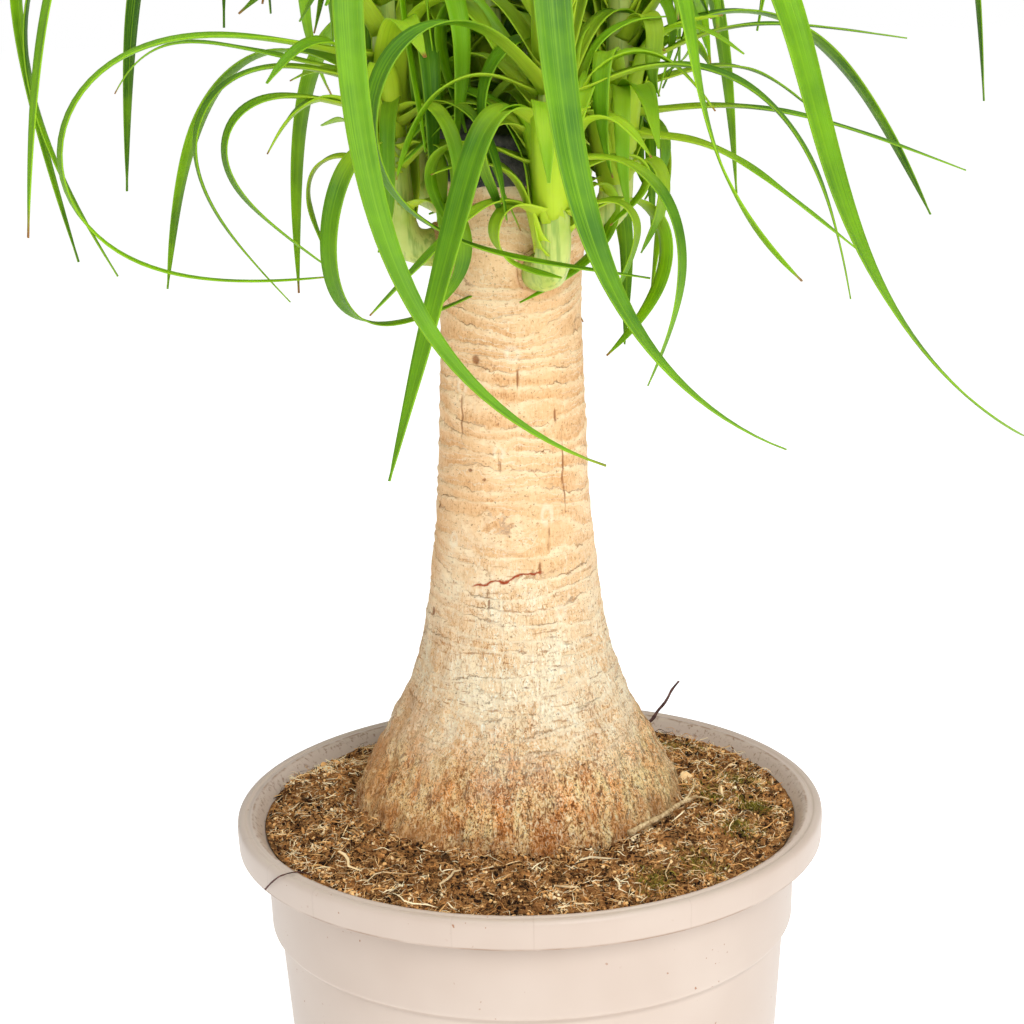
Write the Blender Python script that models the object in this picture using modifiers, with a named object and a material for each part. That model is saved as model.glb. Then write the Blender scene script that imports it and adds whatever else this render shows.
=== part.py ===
"""Ponytail palm in a nursery pot.

A swollen trunk stands in potting soil.  Its cut top is sealed with dark wax,
and below the wax side shoots carry long strap leaves that arch over and hang.
Units are metres, +Z is up, and the origin is the middle of the pot's underside.
"""
import math

import bmesh
import bpy
from mathutils import Vector

MM = 0.001
GAP = 0.3 * MM                   # clearance between pieces that touch

# ---- driving dimensions -------------------------------------------------
POT_HEIGHT = 200 * MM
RIM_RADIUS = 120 * MM
RIM_DEPTH = 12 * MM              # height of the lip's hanging skirt
RIM_INNER_RADIUS = 112 * MM
COLLAR_RADIUS = 108.6 * MM       # wall just under the lip
COLLAR_DEPTH = 46 * MM           # below the rim, where the wall steps in
STEP_RADIUS = 104 * MM           # wall just under the step
STEP_DEPTH = 50 * MM
FOOT_RADIUS = 93 * MM
WALL = 1.8 * MM
EDGE = 1 * MM                    # chamfer of moulded and poured edges
COLLAR_TAPER = 1.3 * MM          # how much the collar narrows over its depth
WALL_TURN = 8 * MM               # below the rim, where the inner wall slopes out to the lip
FLOOR_TOP = 6 * MM               # inside floor above the resting face
CHANNEL_HEIGHT = 4 * MM          # raised ring of the underside, with the holes
HUB_RADIUS = 32 * MM
FOOT_RING_INNER = 84 * MM
DRAIN_HOLES = 8
DRAIN_HOLE_RADIUS = 6 * MM
DRAIN_CIRCLE = 62 * MM
POT_STEPS = 48

SOIL_EDGE = 108.6 * MM           # where the soil meets the slope under the lip
# The soil's surface: distance from the pot's middle, height over the rim.
SOIL_MOUND = [
    (0.0, 3.0 * MM),
    (72.0 * MM, 3.0 * MM),
    (88.0 * MM, 0.0 * MM),
    (100.0 * MM, -3.0 * MM),
    (SOIL_EDGE, -4.6 * MM),
]

TRUNK_HEIGHT = 280 * MM          # above the rim
TRUNK_BASE_X = -4.6 * MM         # the trunk stands a little off centre
TRUNK_LEAN = math.radians(0.6)
TRUNK_STEPS = 32
TOP_RADIUS = 28 * MM

WAX_SKIRT = 16 * MM
WAX_THICKNESS = 1.2 * MM

TWIG_RADIUS = 1.2 * MM
STALK_RADIUS = 0.8 * MM

LEAF_THICKNESS = 0.8 * MM
LEAF_FOLD = 0.35                 # rise of a blade's edges over its rib, per half width
LEAF_JOINTS = 13                 # cross-sections along a leaf, less one

ROOT_POINT = 3                   # mm from the outline's last ring down to the root's end
# Height over the rim and radius of the trunk, from its cut top down to its root.
TRUNK_OUTLINE = [
    (280, 28), (250, 28), (200, 28.3), (160, 29.5), (125, 31.3), (95, 34.2),
    (70, 38.4), (48, 45.2), (30, 53.6), (14, 61), (0, 67), (-14, 70), (-30, 68), (-46, 58), (-60, 40), (-72, 14),
]

# Side shoots: compass angle on the trunk, height over the rim (mm), length (mm).
SHOOTS = {
    "left": (190, 234, 112),
    "front": (292, 228, 118),
    "right": (350, 244, 104),
    "back_right": (48, 252, 100),
    "back": (98, 240, 112),
    "back_left": (146, 250, 104),
}
SHOOT_RADIUS = 7.0 * MM
SHOOT_TIP_RADIUS = 4.5 * MM
SHOOT_JOINTS = 24
SHOOT_BEND = 0.07               # share of its length where a shoot turns upwards
DRIFT_LIFT = 0.5                 # how much a leaf that swings round also lifts its tip

# Strap leaves, by shoot.  Angles in degrees: heading is the compass angle the
# leaf leaves with (0 right, 90 back, 180 left, 270 front) and sweep how far it
# drifts; launch and tip are its slopes at both ends (below -90 it curls under).
# arch is where along its length it turns over and soft how gradually.
# (up the shoot mm, heading, sweep, launch, tip, arch, soft, length mm, width mm)
LEAVES = {
    "left": [
        (62, 200, 0, 20, -140, 0.44, 0.09, 136, 9),
        (72, 196, 0, 24, -130, 0.42, 0.12, 158, 8),
        (82, 200, 0, 18, -180, 0.50, 0.12, 274, 9),
        (98, 184, 0, 58, -118, 0.42, 0.15, 282, 12),
        (92, 218, 0, 60, -75, 0.40, 0.13, 350, 12),
        (50, 250, -70, 15, -205, 0.42, 0.19, 172, 8),
        (40, 180, 0, 35, -110, 0.35, 0.12, 62, 8),
        (104, 265, 93, 65, -64, 0.23, 0.07, 368, 12),
    ],
    "front": [
        (80, 224, -50, 52, -170, 0.36, 0.13, 246, 10),
        (64, 238, 0, 40, -60, 0.18, 0.05, 178, 12),
        (34, 208, 0, 38, -38, 0.20, 0.07, 84, 8),
        (54, 318, 0, 18, -118, 0.36, 0.16, 126, 7),
        (34, 338, 0, 30, -115, 0.38, 0.09, 62, 6),
        (90, 268, 89, 53, -64, 0.27, 0.06, 305, 14),
        (76, 346, 0, 34, -80, 0.35, 0.18, 160, 10),
        (112, 301, 118, 48, -91, 0.31, 0.06, 217, 9),
        (105, 203, 0, 58, -85, 0.47, 0.12, 340, 12),
    ],
    "right": [
        (98, 298, 138, 48, -84, 0.23, 0.08, 328, 14),
        (40, 340, 0, 2, -36, 0.25, 0.10, 104, 9),
        (48, 2, 0, 8, -22, 0.30, 0.15, 132, 8),
        (58, 16, 0, 15, -40, 0.55, 0.12, 78, 8),
        (66, 350, 0, 30, -8, 0.35, 0.12, 106, 8),
        (24, 308, 0, 65, -125, 0.30, 0.12, 60, 7),
        (28, 42, 0, 70, -100, 0.20, 0.06, 85, 7),
        (76, 352, 0, 60, -95, 0.42, 0.12, 320, 11),
        (86, 28, 0, 66, -85, 0.42, 0.12, 380, 12),
    ],
    "back_right": [
        (40, 30, 0, 40, -60, 0.35, 0.15, 220, 11),
        (55, 66, 0, 50, -80, 0.40, 0.15, 280, 12),
        (70, 90, 0, 60, -85, 0.42, 0.12, 330, 12),
        (80, 34, 0, 66, -85, 0.45, 0.12, 390, 12),
        (92, 56, 0, 76, -80, 0.45, 0.12, 410, 13),
    ],
    "back": [
        (40, 62, 0, 40, -80, 0.35, 0.15, 180, 11),
        (50, 132, 0, 50, -90, 0.35, 0.15, 230, 11),
        (65, 104, 0, 60, -85, 0.42, 0.12, 320, 12),
        (85, 78, 0, 72, -82, 0.45, 0.12, 390, 13),
        (98, 124, 0, 78, -85, 0.46, 0.12, 430, 13),
    ],
    "back_left": [
        (52, 182, 0, 15, -60, 0.80, 0.08, 120, 8),
        (40, 150, 0, 40, -80, 0.35, 0.15, 190, 10),
        (64, 138, 0, 62, -85, 0.42, 0.12, 310, 12),
        (76, 164, 0, 66, -105, 0.42, 0.12, 370, 12),
        (90, 196, 0, 76, -85, 0.45, 0.12, 390, 13),
    ],
}

# name: (colour, roughness)
FINISHES = {
    "taupe_plastic": ((0.62, 0.52, 0.45), 0.38),
    "potting_soil": ((0.10, 0.05, 0.025), 0.95),
    "bark": ((0.56, 0.36, 0.20), 0.80),
    "dark_wax": ((0.035, 0.03, 0.03), 0.60),
    "shoot_green": ((0.38, 0.55, 0.08), 0.45),
    "leaf_green": ((0.12, 0.36, 0.03), 0.40),
    "dry_straw": ((0.60, 0.45, 0.24), 0.75),
    "dry_stalk": ((0.10, 0.06, 0.05), 0.75),
}


# ---- helpers ----------------------------------------------------------------
def clear_scene():
    """Remove whatever objects the opened file holds."""
    for old in list(bpy.data.objects):
        bpy.data.objects.remove(old, do_unlink=True)


def make_materials():
    """One Principled material for each finish."""
    made = {}
    for name, (colour, roughness) in FINISHES.items():
        material = bpy.data.materials.new(name)
        material.use_nodes = True
        shader = material.node_tree.nodes["Principled BSDF"]
        shader.inputs["Base Color"].default_value = (*colour, 1.0)
        shader.inputs["Roughness"].default_value = roughness
        shader.inputs["Metallic"].default_value = 0.0
        made[name] = material
    return made


def add_object(name, data, finish):
    """Link a new object into the plant's collection with its material."""
    piece = bpy.data.objects.new(name, data)
    PLANT.objects.link(piece)
    data.materials.append(MATERIALS[finish])
    return piece


def turned(name, profile, steps, finish=None):
    """A closed profile of (radius, height) points in metres, turned about +Z."""
    mesh = bpy.data.meshes.new(name)
    count = len(profile)
    on_axis = profile[0][0] == 0.0 and profile[-1][0] == 0.0
    last = count - 1 if on_axis else count
    edges = [(i, (i + 1) % count) for i in range(last)]
    mesh.from_pydata([(radius, 0.0, height) for radius, height in profile], edges, [])
    if finish is None:
        piece = bpy.data.objects.new(name, mesh)
        CUTTERS.objects.link(piece)
        piece.hide_render = True
        piece.display_type = "WIRE"
    else:
        piece = add_object(name, mesh, finish)
    screw = piece.modifiers.new("turn", "SCREW")
    screw.steps = steps
    screw.render_steps = steps
    screw.use_merge_vertices = True
    screw.merge_threshold = 0.00005
    screw.use_smooth_shade = True
    return piece


def cut(piece, cutter):
    """Take the cutter's shape out of a piece."""
    hole = piece.modifiers.new("cut", "BOOLEAN")
    hole.operation = "DIFFERENCE"
    hole.solver = "EXACT"
    hole.object = cutter


def direction(heading, pitch):
    """Unit vector for a compass heading and a slope, both in radians."""
    return Vector((math.cos(pitch) * math.cos(heading), math.cos(pitch) * math.sin(heading), math.sin(pitch)))


def turn_over(along, arch, soft):
    """0 at the base and 1 at the tip, changing mostly around the arch."""
    def ramp(place):
        return 1.0 / (1.0 + math.exp(-(place - arch) / soft))
    return (ramp(along) - ramp(0.0)) / (ramp(1.0) - ramp(0.0))


def grow(start, heading, sweep, launch, tip, arch, soft, length, joints):
    """Points, directions and upper-side normals along a blade or a shoot."""
    stations = []
    point = Vector(start)
    step = length / joints
    for i in range(joints + 1):
        along = i / joints
        drift = sweep * along ** 3
        slope = launch + (tip - launch) * turn_over(along, arch, soft)
        pitch = math.radians(slope + DRIFT_LIFT * max(drift, 0.0))
        compass = math.radians(heading + drift)
        forward = direction(compass, pitch)
        normal = direction(compass, pitch + math.pi / 2)
        stations.append((point.copy(), forward, normal))
        point = point + forward * step
    return stations


# ---- pieces --------------------------------------------------------------
def wall_radius(depth):
    """Outer radius of the tapered wall, at a depth below the rim."""
    if depth <= COLLAR_DEPTH:
        return COLLAR_RADIUS - COLLAR_TAPER * depth / COLLAR_DEPTH
    share = (depth - STEP_DEPTH) / (POT_HEIGHT - STEP_DEPTH)
    return STEP_RADIUS + (FOOT_RADIUS - STEP_RADIUS) * share


def make_pot():
    """Thin wall with a hanging lip, a step below it, and a floor with drainage holes."""
    top = POT_HEIGHT
    outer = [
        (RIM_INNER_RADIUS, top - EDGE),
        (RIM_INNER_RADIUS + 1.5 * EDGE, top),
        (RIM_RADIUS - 1.5 * EDGE, top),
        (RIM_RADIUS, top - 1.5 * EDGE),
        (RIM_RADIUS - 0.4 * EDGE, top - RIM_DEPTH),
        (RIM_RADIUS - 0.4 * EDGE - WALL, top - RIM_DEPTH),
        (RIM_RADIUS - WALL, top - WALL - EDGE),
        (COLLAR_RADIUS + 2.5 * EDGE, top - WALL - EDGE),
        (COLLAR_RADIUS, top - WALL - 4 * EDGE),
        (wall_radius(COLLAR_DEPTH), top - COLLAR_DEPTH),
        (STEP_RADIUS, top - STEP_DEPTH),
        (FOOT_RADIUS, 0.0),
        (FOOT_RING_INNER, 0.0),
        (FOOT_RING_INNER - EDGE, CHANNEL_HEIGHT),
        (HUB_RADIUS + EDGE, CHANNEL_HEIGHT),
        (HUB_RADIUS, 0.0),
        (0.0, 0.0),
    ]
    inner = [
        (0.0, FLOOR_TOP),
        (FOOT_RADIUS - WALL, FLOOR_TOP),
        (STEP_RADIUS - WALL, top - STEP_DEPTH),
        (wall_radius(COLLAR_DEPTH) - WALL, top - COLLAR_DEPTH),
        (COLLAR_RADIUS - WALL, top - WALL_TURN),
    ]
    pot = turned("pot", inner + outer, POT_STEPS, "taupe_plastic")
    for i in range(DRAIN_HOLES):
        angle = math.tau * (i + 0.5) / DRAIN_HOLES
        mesh = bpy.data.meshes.new(f"drain_{i + 1}")
        drill = bmesh.new()
        bmesh.ops.create_cone(drill, cap_ends=True, segments=16, radius1=DRAIN_HOLE_RADIUS,
                              radius2=DRAIN_HOLE_RADIUS, depth=4 * FLOOR_TOP)
        drill.to_mesh(mesh)
        drill.free()
        cutter = bpy.data.objects.new(mesh.name, mesh)
        CUTTERS.objects.link(cutter)
        cutter.location = (DRAIN_CIRCLE * math.cos(angle), DRAIN_CIRCLE * math.sin(angle), FLOOR_TOP)
        cutter.hide_render = True
        cutter.display_type = "WIRE"
        cut(pot, cutter)
    return pot


def trunk_profile(clearance):
    """The trunk's outline from top to root, grown by a clearance."""
    top = TRUNK_HEIGHT
    points = [(0.0, top + clearance)]
    for height, radius in TRUNK_OUTLINE:
        points.append((radius * MM + clearance, height * MM))
    points[1] = (points[1][0], top + clearance)
    points.append((0.0, (TRUNK_OUTLINE[-1][0] - ROOT_POINT) * MM - clearance))
    return points


def stand_on_trunk_axis(piece):
    """Put a turned piece on the trunk's slightly leaning axis, heights from the rim."""
    piece.location = (TRUNK_BASE_X, 0.0, POT_HEIGHT)
    piece.rotation_euler = (0.0, TRUNK_LEAN, 0.0)


def make_trunk():
    """The swollen trunk with its buried root end, grown in one piece."""
    trunk = turned("trunk", trunk_profile(0.0), TRUNK_STEPS, "bark")
    stand_on_trunk_axis(trunk)
    return trunk


def make_wound_wax():
    """A thin sealing cap over the sawn top, with a skirt down the bark."""
    top = TRUNK_HEIGHT
    inside = TOP_RADIUS + GAP
    outside = inside + WAX_THICKNESS
    profile = [
        (0.0, top + GAP + WAX_THICKNESS),
        (outside - EDGE, top + GAP + WAX_THICKNESS),
        (outside, top + GAP + WAX_THICKNESS - EDGE),
        (outside, top - WAX_SKIRT),
        (inside, top - WAX_SKIRT),
        (inside, top + GAP),
        (0.0, top + GAP),
    ]
    wax = turned("wound_wax", profile, TRUNK_STEPS, "dark_wax")
    stand_on_trunk_axis(wax)
    return wax


def make_soil():
    """Potting soil that fills the pot and is mounded up to the trunk."""
    top = POT_HEIGHT
    floor = FLOOR_TOP + GAP
    profile = [(radius, top + height) for radius, height in SOIL_MOUND]
    profile += [
        (COLLAR_RADIUS - WALL - 3 * GAP, top - WALL_TURN - 2 * GAP),
        (wall_radius(COLLAR_DEPTH) - WALL - GAP, top - COLLAR_DEPTH),
        (STEP_RADIUS - WALL - 2 * GAP, top - STEP_DEPTH),
        (FOOT_RADIUS - WALL - GAP, floor),
        (0.0, floor),
    ]
    soil = turned("soil", profile, POT_STEPS, "potting_soil")
    hollow = turned("trunk_hollow", trunk_profile(GAP), TRUNK_STEPS)
    stand_on_trunk_axis(hollow)
    cut(soil, hollow)
    return soil


def shoot_stations(name):
    """The middle line of a side shoot, from the bark outwards and up."""
    compass, height, length = SHOOTS[name]
    lean = height * MM * math.tan(TRUNK_LEAN)
    axis = Vector((TRUNK_BASE_X + lean, 0.0, POT_HEIGHT + height * MM))
    start = axis + direction(math.radians(compass), 0.0) * (TOP_RADIUS + 3 * GAP)
    return grow(start, compass, 0, 0, 88, SHOOT_BEND, SHOOT_BEND / 2, length * MM, SHOOT_JOINTS)


def shoot_radius(along):
    """Radius of a shoot, along its length from 0 to 1."""
    return SHOOT_RADIUS + (SHOOT_TIP_RADIUS - SHOOT_RADIUS) * along


def make_shoot(name):
    """The fleshy core of a side shoot, a tube that tapers upwards."""
    curve = bpy.data.curves.new(f"shoot_{name}", "CURVE")
    curve.dimensions = "3D"
    curve.bevel_depth = 1.0
    curve.bevel_resolution = 2
    curve.use_fill_caps = True
    stations = shoot_stations(name)
    kept = [i for i in range(SHOOT_JOINTS + 1) if i <= 6 or i % 6 == 0]
    spline = curve.splines.new("POLY")
    spline.points.add(len(kept) - 1)
    for place, i in enumerate(kept):
        spline.points[place].co = (*stations[i][0], 1.0)
        spline.points[place].radius = shoot_radius(i / SHOOT_JOINTS)
    return add_object(curve.name, curve, "shoot_green")


def half_width(along, width):
    """Half the width of a strap leaf: clasping base, long even blade, drawn-out tip."""
    clasp = 1.0 + 0.25 * math.exp(-((along / 0.06) ** 2))
    taper = (1.0 - along ** 2.4) ** 0.8
    return 0.5 * width * max(clasp * taper, 0.08)


def leaf_start(shoot, up, heading):
    """Where a leaf leaves its shoot's skin."""
    stations = shoot_stations(shoot)
    share = up * MM / (SHOOTS[shoot][2] * MM)
    place = share * (len(stations) - 1)
    low = min(int(place), len(stations) - 2)
    centre = stations[low][0].lerp(stations[low + 1][0], place - low)
    reach = shoot_radius(share) + 3 * GAP
    return centre + direction(math.radians(heading), 0.0) * reach


def make_leaf(name, shoot, row):
    """A strap leaf: a grid laid along the grown line, folded along its rib."""
    up, heading, sweep, launch, tip, arch, soft, length, width = row
    start = leaf_start(shoot, up, heading)
    stations = grow(start, heading, sweep, launch, tip, arch, soft, length * MM, LEAF_JOINTS)
    blade = bmesh.new()
    bmesh.ops.create_grid(blade, x_segments=LEAF_JOINTS, y_segments=2, size=1.0)
    for vert in blade.verts:
        along = (vert.co.x + 1.0) / 2.0
        across = vert.co.y
        point, forward, normal = stations[round(along * LEAF_JOINTS)]
        half = half_width(along, width * MM)
        fold = LEAF_FOLD * half * abs(across) * (1.0 - 0.6 * along)
        vert.co = point + forward.cross(normal) * (across * half) + normal * fold
    bmesh.ops.recalc_face_normals(blade, faces=blade.faces)
    mesh = bpy.data.meshes.new(name)
    blade.to_mesh(mesh)
    blade.free()
    mesh.shade_smooth()
    leaf = add_object(name, mesh, "leaf_green")
    skin = leaf.modifiers.new("thickness", "SOLIDIFY")
    skin.thickness = LEAF_THICKNESS
    skin.offset = 0.0
    return leaf


def make_twig(name, radius, finish, points):
    """A loose dry stalk lying on the soil."""
    curve = bpy.data.curves.new(name, "CURVE")
    curve.dimensions = "3D"
    curve.bevel_depth = radius
    curve.bevel_resolution = 2
    curve.use_fill_caps = True
    spline = curve.splines.new("POLY")
    spline.points.add(len(points) - 1)
    for i, point in enumerate(points):
        spline.points[i].co = (*point, 1.0)
    return add_object(name, curve, finish)


def soil_top(radius):
    """Height of the soil over the rim, at a distance from the pot's middle."""
    for (near, high), (far, low) in zip(SOIL_MOUND, SOIL_MOUND[1:]):
        if radius <= far:
            return high + (low - high) * (radius - near) / (far - near)
    return SOIL_MOUND[-1][1]


def on_soil(x, y, above):
    """A point over the soil, a given height above its surface."""
    return (x, y, POT_HEIGHT + soil_top(math.hypot(x, y)) + above)


clear_scene()
PLANT = bpy.data.collections.new("ponytail_palm")
CUTTERS = bpy.data.collections.new("cutters")
bpy.context.scene.collection.children.link(PLANT)
bpy.context.scene.collection.children.link(CUTTERS)
MATERIALS = make_materials()
make_pot()
make_soil()
make_trunk()
make_wound_wax()
for shoot_name in SHOOTS:
    make_shoot(shoot_name)
    for number, leaf_row in enumerate(LEAVES[shoot_name], 1):
        make_leaf(f"leaf_{shoot_name}_{number:02d}", shoot_name, leaf_row)
make_twig("pale_twig", TWIG_RADIUS, "dry_straw",
          [on_soil(40 * MM, -54 * MM, 4.6 * MM), on_soil(54 * MM, -34 * MM, 3.2 * MM),
           on_soil(67 * MM, -12 * MM, 1.6 * MM)])
make_twig("dark_stalk", STALK_RADIUS, "dry_stalk",
          [on_soil(43 * MM, 72 * MM, 1.2 * MM), on_soil(54 * MM, 78 * MM, 7 * MM),
           on_soil(61 * MM, 83 * MM, 15 * MM), on_soil(66 * MM, 86 * MM, 25 * MM)])
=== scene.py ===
# %% [markdown]
# # Ponytail palm in a nursery pot
#
# The plant is a swollen, corky trunk that was sawn off and sealed with wax. Side shoots
# broke out below the cut, and each shoot is a fountain of strap leaves that arch over and
# hang. This lesson loads the measured solids first, because they say where every piece is,
# and then makes each visible surface as fine as the real one.

# %% Load the measured solids
import math
import random

import bpy
import numpy as np
from mathutils import Matrix, Vector


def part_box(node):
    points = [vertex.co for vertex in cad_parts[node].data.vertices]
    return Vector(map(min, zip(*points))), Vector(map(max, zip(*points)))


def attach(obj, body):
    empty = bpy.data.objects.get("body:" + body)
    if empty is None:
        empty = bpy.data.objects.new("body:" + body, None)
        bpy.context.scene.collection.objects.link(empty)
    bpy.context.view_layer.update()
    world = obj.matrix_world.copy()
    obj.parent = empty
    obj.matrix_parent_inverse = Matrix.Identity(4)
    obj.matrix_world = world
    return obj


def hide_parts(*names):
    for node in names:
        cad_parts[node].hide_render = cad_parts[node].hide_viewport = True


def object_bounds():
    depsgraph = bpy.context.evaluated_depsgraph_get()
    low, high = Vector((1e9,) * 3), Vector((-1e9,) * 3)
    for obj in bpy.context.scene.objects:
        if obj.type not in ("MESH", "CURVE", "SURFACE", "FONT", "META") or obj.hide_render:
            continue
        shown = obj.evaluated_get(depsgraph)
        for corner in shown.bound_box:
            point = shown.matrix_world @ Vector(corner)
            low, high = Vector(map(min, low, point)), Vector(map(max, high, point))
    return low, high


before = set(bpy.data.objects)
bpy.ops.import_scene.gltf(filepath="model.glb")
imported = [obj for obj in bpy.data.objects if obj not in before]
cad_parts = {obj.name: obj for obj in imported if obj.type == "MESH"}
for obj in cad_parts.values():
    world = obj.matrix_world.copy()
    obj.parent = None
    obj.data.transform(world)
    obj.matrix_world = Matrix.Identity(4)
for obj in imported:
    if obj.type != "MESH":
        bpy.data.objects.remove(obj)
cad_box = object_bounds()
MM = 0.001
pot_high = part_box("pot")[1]
RIM_HEIGHT = pot_high.z
RIM_RADIUS = pot_high.x
print("nodes:", len(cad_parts), "rim height", round(RIM_HEIGHT, 3), "rim radius", round(RIM_RADIUS, 3))

# %% [markdown]
# ## Helpers
#
# Every piece starts as a primitive and is shaped in edit mode. An operator acts on all that
# is selected, so a fresh piece is always made with nothing else selected. Colours are given
# as the 0 to 255 values a paint chart uses, and turned into the linear values a shader wants.

# %% Selecting, shading and colours
def select_nothing():
    """Leave nothing selected, before an operator makes a fresh piece."""
    bpy.ops.object.select_all(action="DESELECT")


def alone(piece):
    """Select one object and make it the active one."""
    select_nothing()
    piece.select_set(True)
    bpy.context.view_layer.objects.active = piece


def face_outwards():
    """Turn every face of the edited piece outwards, and leave edit mode."""
    bpy.ops.mesh.select_all(action="SELECT")
    bpy.ops.mesh.normals_make_consistent(inside=False)
    bpy.ops.object.mode_set(mode="OBJECT")


def named(name):
    """Name the object an operator has just made, and its mesh."""
    piece = bpy.context.object
    piece.name = name
    piece.data.name = name
    return piece


def apply_modifiers(piece):
    """Apply every modifier of a piece, in order."""
    alone(piece)
    for modifier in list(piece.modifiers):
        bpy.ops.object.modifier_apply(modifier=modifier.name)


def subdivide(piece, levels):
    """Smooth a coarse cage by repeated subdivision."""
    skin = piece.modifiers.new("fine", "SUBSURF")
    skin.levels = levels
    skin.render_levels = levels
    apply_modifiers(piece)


def settle(piece):
    """Put a piece's place, turn and scale into its mesh."""
    alone(piece)
    bpy.ops.object.transform_apply(location=True, rotation=True, scale=True)
    return piece


def get_points(piece):
    """The vertices of a piece as an array."""
    points = np.empty(len(piece.data.vertices) * 3)
    piece.data.vertices.foreach_get("co", points)
    return points.reshape(-1, 3)


def set_points(piece, points):
    """Move the vertices of a piece."""
    piece.data.vertices.foreach_set("co", np.ascontiguousarray(points).ravel())
    piece.data.update()


def shade_smooth(piece):
    """Shade a piece smooth."""
    alone(piece)
    bpy.ops.object.shade_smooth()


def picked(stations, index):
    """Each part of a row of stations as an array, picked by index."""
    return [np.array(part)[index] for part in zip(*stations)]


def paint_channel(piece, name, values):
    """Store one number for each vertex, for a material to read."""
    channel = piece.data.attributes.new(name, "FLOAT", "POINT")
    channel.data.foreach_set("value", np.asarray(values, dtype=np.float32))


def linear(red, green, blue):
    """A colour from 0 to 255 values, as a shader wants it."""
    channels = []
    for value in (red, green, blue):
        share = value / 255.0
        channels.append(share / 12.92 if share <= 0.04045 else ((share + 0.055) / 1.055) ** 2.4)
    return (*channels, 1.0)


def coat(piece, material):
    """Give a piece one material, in place of any it has."""
    piece.data.materials.clear()
    piece.data.materials.append(material)


def finished(piece, slot, *nodes):
    """Say which solids a piece stands for, and that it rides on the root; the slot is not used."""
    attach(piece, "root")
    if nodes:
        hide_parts(*nodes)


# %% [markdown]
# ## Node helpers
#
# A procedural material is a small graph. These helpers add a node, wire it and hand back its
# output, so that each finish below reads as a recipe.

# %% Building blocks for materials
class Recipe:
    """A material under construction: adds nodes and wires them."""

    def __init__(self, name):
        self.material = bpy.data.materials.new(name)
        self.material.use_nodes = True
        self.tree = self.material.node_tree
        self.shader = self.tree.nodes["Principled BSDF"]
        self.place = self.tree.nodes.new("ShaderNodeTexCoord").outputs["Object"]

    def add(self, kind, settings=None, **wires):
        """One node: settings are its properties, wires go to its inputs by name."""
        node = self.tree.nodes.new(kind)
        for key, value in (settings or {}).items():
            setattr(node, key, value)
        for key, value in wires.items():
            socket = node.inputs[int(key[2:]) if key.startswith("in") else key.replace("_", " ")]
            self.feed(socket, value)
        return node

    def feed(self, socket, value):
        """Wire an output to a socket, or set the socket's own value."""
        if isinstance(value, bpy.types.NodeSocket):
            self.tree.links.new(value, socket)
        else:
            socket.default_value = value

    def noise(self, scale, detail=3.0, rough=0.55, at=None, distortion=0.0):
        node = self.add("ShaderNodeTexNoise", Vector=at or self.place, Scale=scale, Detail=detail,
                        Roughness=rough, Distortion=distortion)
        return node.outputs["Fac"]

    def stretched(self, scale):
        """Coordinates scaled differently along each axis."""
        node = self.add("ShaderNodeMapping", Vector=self.place, Scale=scale)
        return node.outputs["Vector"]

    def ramp(self, value, low, high, start=0.0, end=1.0):
        """Straight-line remap of a value, clamped."""
        node = self.add("ShaderNodeMapRange", in0=value, in1=low, in2=high, in3=start, in4=end)
        return node.outputs["Result"]

    def math(self, operation, first, second=0.0):
        node = self.add("ShaderNodeMath", {"operation": operation}, in0=first, in1=second)
        return node.outputs[0]

    def times(self, first, second):
        """Product of two values: masks that must both hold."""
        return self.math("MULTIPLY", first, second)

    def mix(self, share, first, second):
        """Mix two colours."""
        node = self.add("ShaderNodeMix", {"data_type": "RGBA"}, in0=share, in6=first, in7=second)
        return node.outputs[2]

    def layers(self, colour, *coats):
        """Lay coats over a colour in order: each is (how much of it shows, its red, green and blue)."""
        for share, paint in coats:
            colour = self.mix(share, colour, linear(*paint))
        return colour

    def channel(self, name):
        """A number stored on the mesh."""
        return self.add("ShaderNodeAttribute", {"attribute_name": name}).outputs["Fac"]

    def bump(self, height, strength, distance=0.001, onto=None):
        """Small surface relief from a height, added to any relief already there."""
        wires = {"Height": height, "Strength": strength, "Distance": distance}
        if onto is not None:
            wires["Normal"] = onto
        return self.add("ShaderNodeBump", **wires).outputs["Normal"]

    def finish(self, colour, roughness, relief=None, **constants):
        """Wire colour, roughness and relief to the shader, and set its own constants."""
        self.feed(self.shader.inputs["Base Color"], colour)
        self.feed(self.shader.inputs["Roughness"], roughness)
        if relief is not None:
            self.feed(self.shader.inputs["Normal"], relief)
        for key, value in constants.items():
            self.shader.inputs[key.replace("_", " ")].default_value = value
        return self.material


print("helpers ready")

# %% [markdown]
# ## Growing a line
#
# Shoots and leaves grow along a line whose slope turns over from a launch angle to a tip
# angle. A leaf's end may point below straight down, so that it curls back under itself.
# The same rows of angles and lengths give the measured leaf solids, so the fine leaves lie
# exactly where those are.

# %% Lines that arch over
TRUNK_BASE_X = -4.6 * MM
TRUNK_LEAN = math.radians(0.6)
TOP_RADIUS = 28 * MM
GAP = 0.3 * MM
SHOOT_RADIUS = 7.0 * MM
SHOOT_TIP_RADIUS = 4.5 * MM
SHOOT_JOINTS = 24
SHOOT_BEND = 0.07
DRIFT_LIFT = 0.5


def direction(heading, pitch):
    """Unit vector for a compass heading and a slope, both in radians."""
    return Vector((math.cos(pitch) * math.cos(heading), math.cos(pitch) * math.sin(heading), math.sin(pitch)))


def turn_over(along, arch, soft):
    """0 at the base and 1 at the tip, changing mostly around the arch."""
    def ramp(place):
        return 1.0 / (1.0 + math.exp(-(place - arch) / soft))
    return (ramp(along) - ramp(0.0)) / (ramp(1.0) - ramp(0.0))


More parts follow.
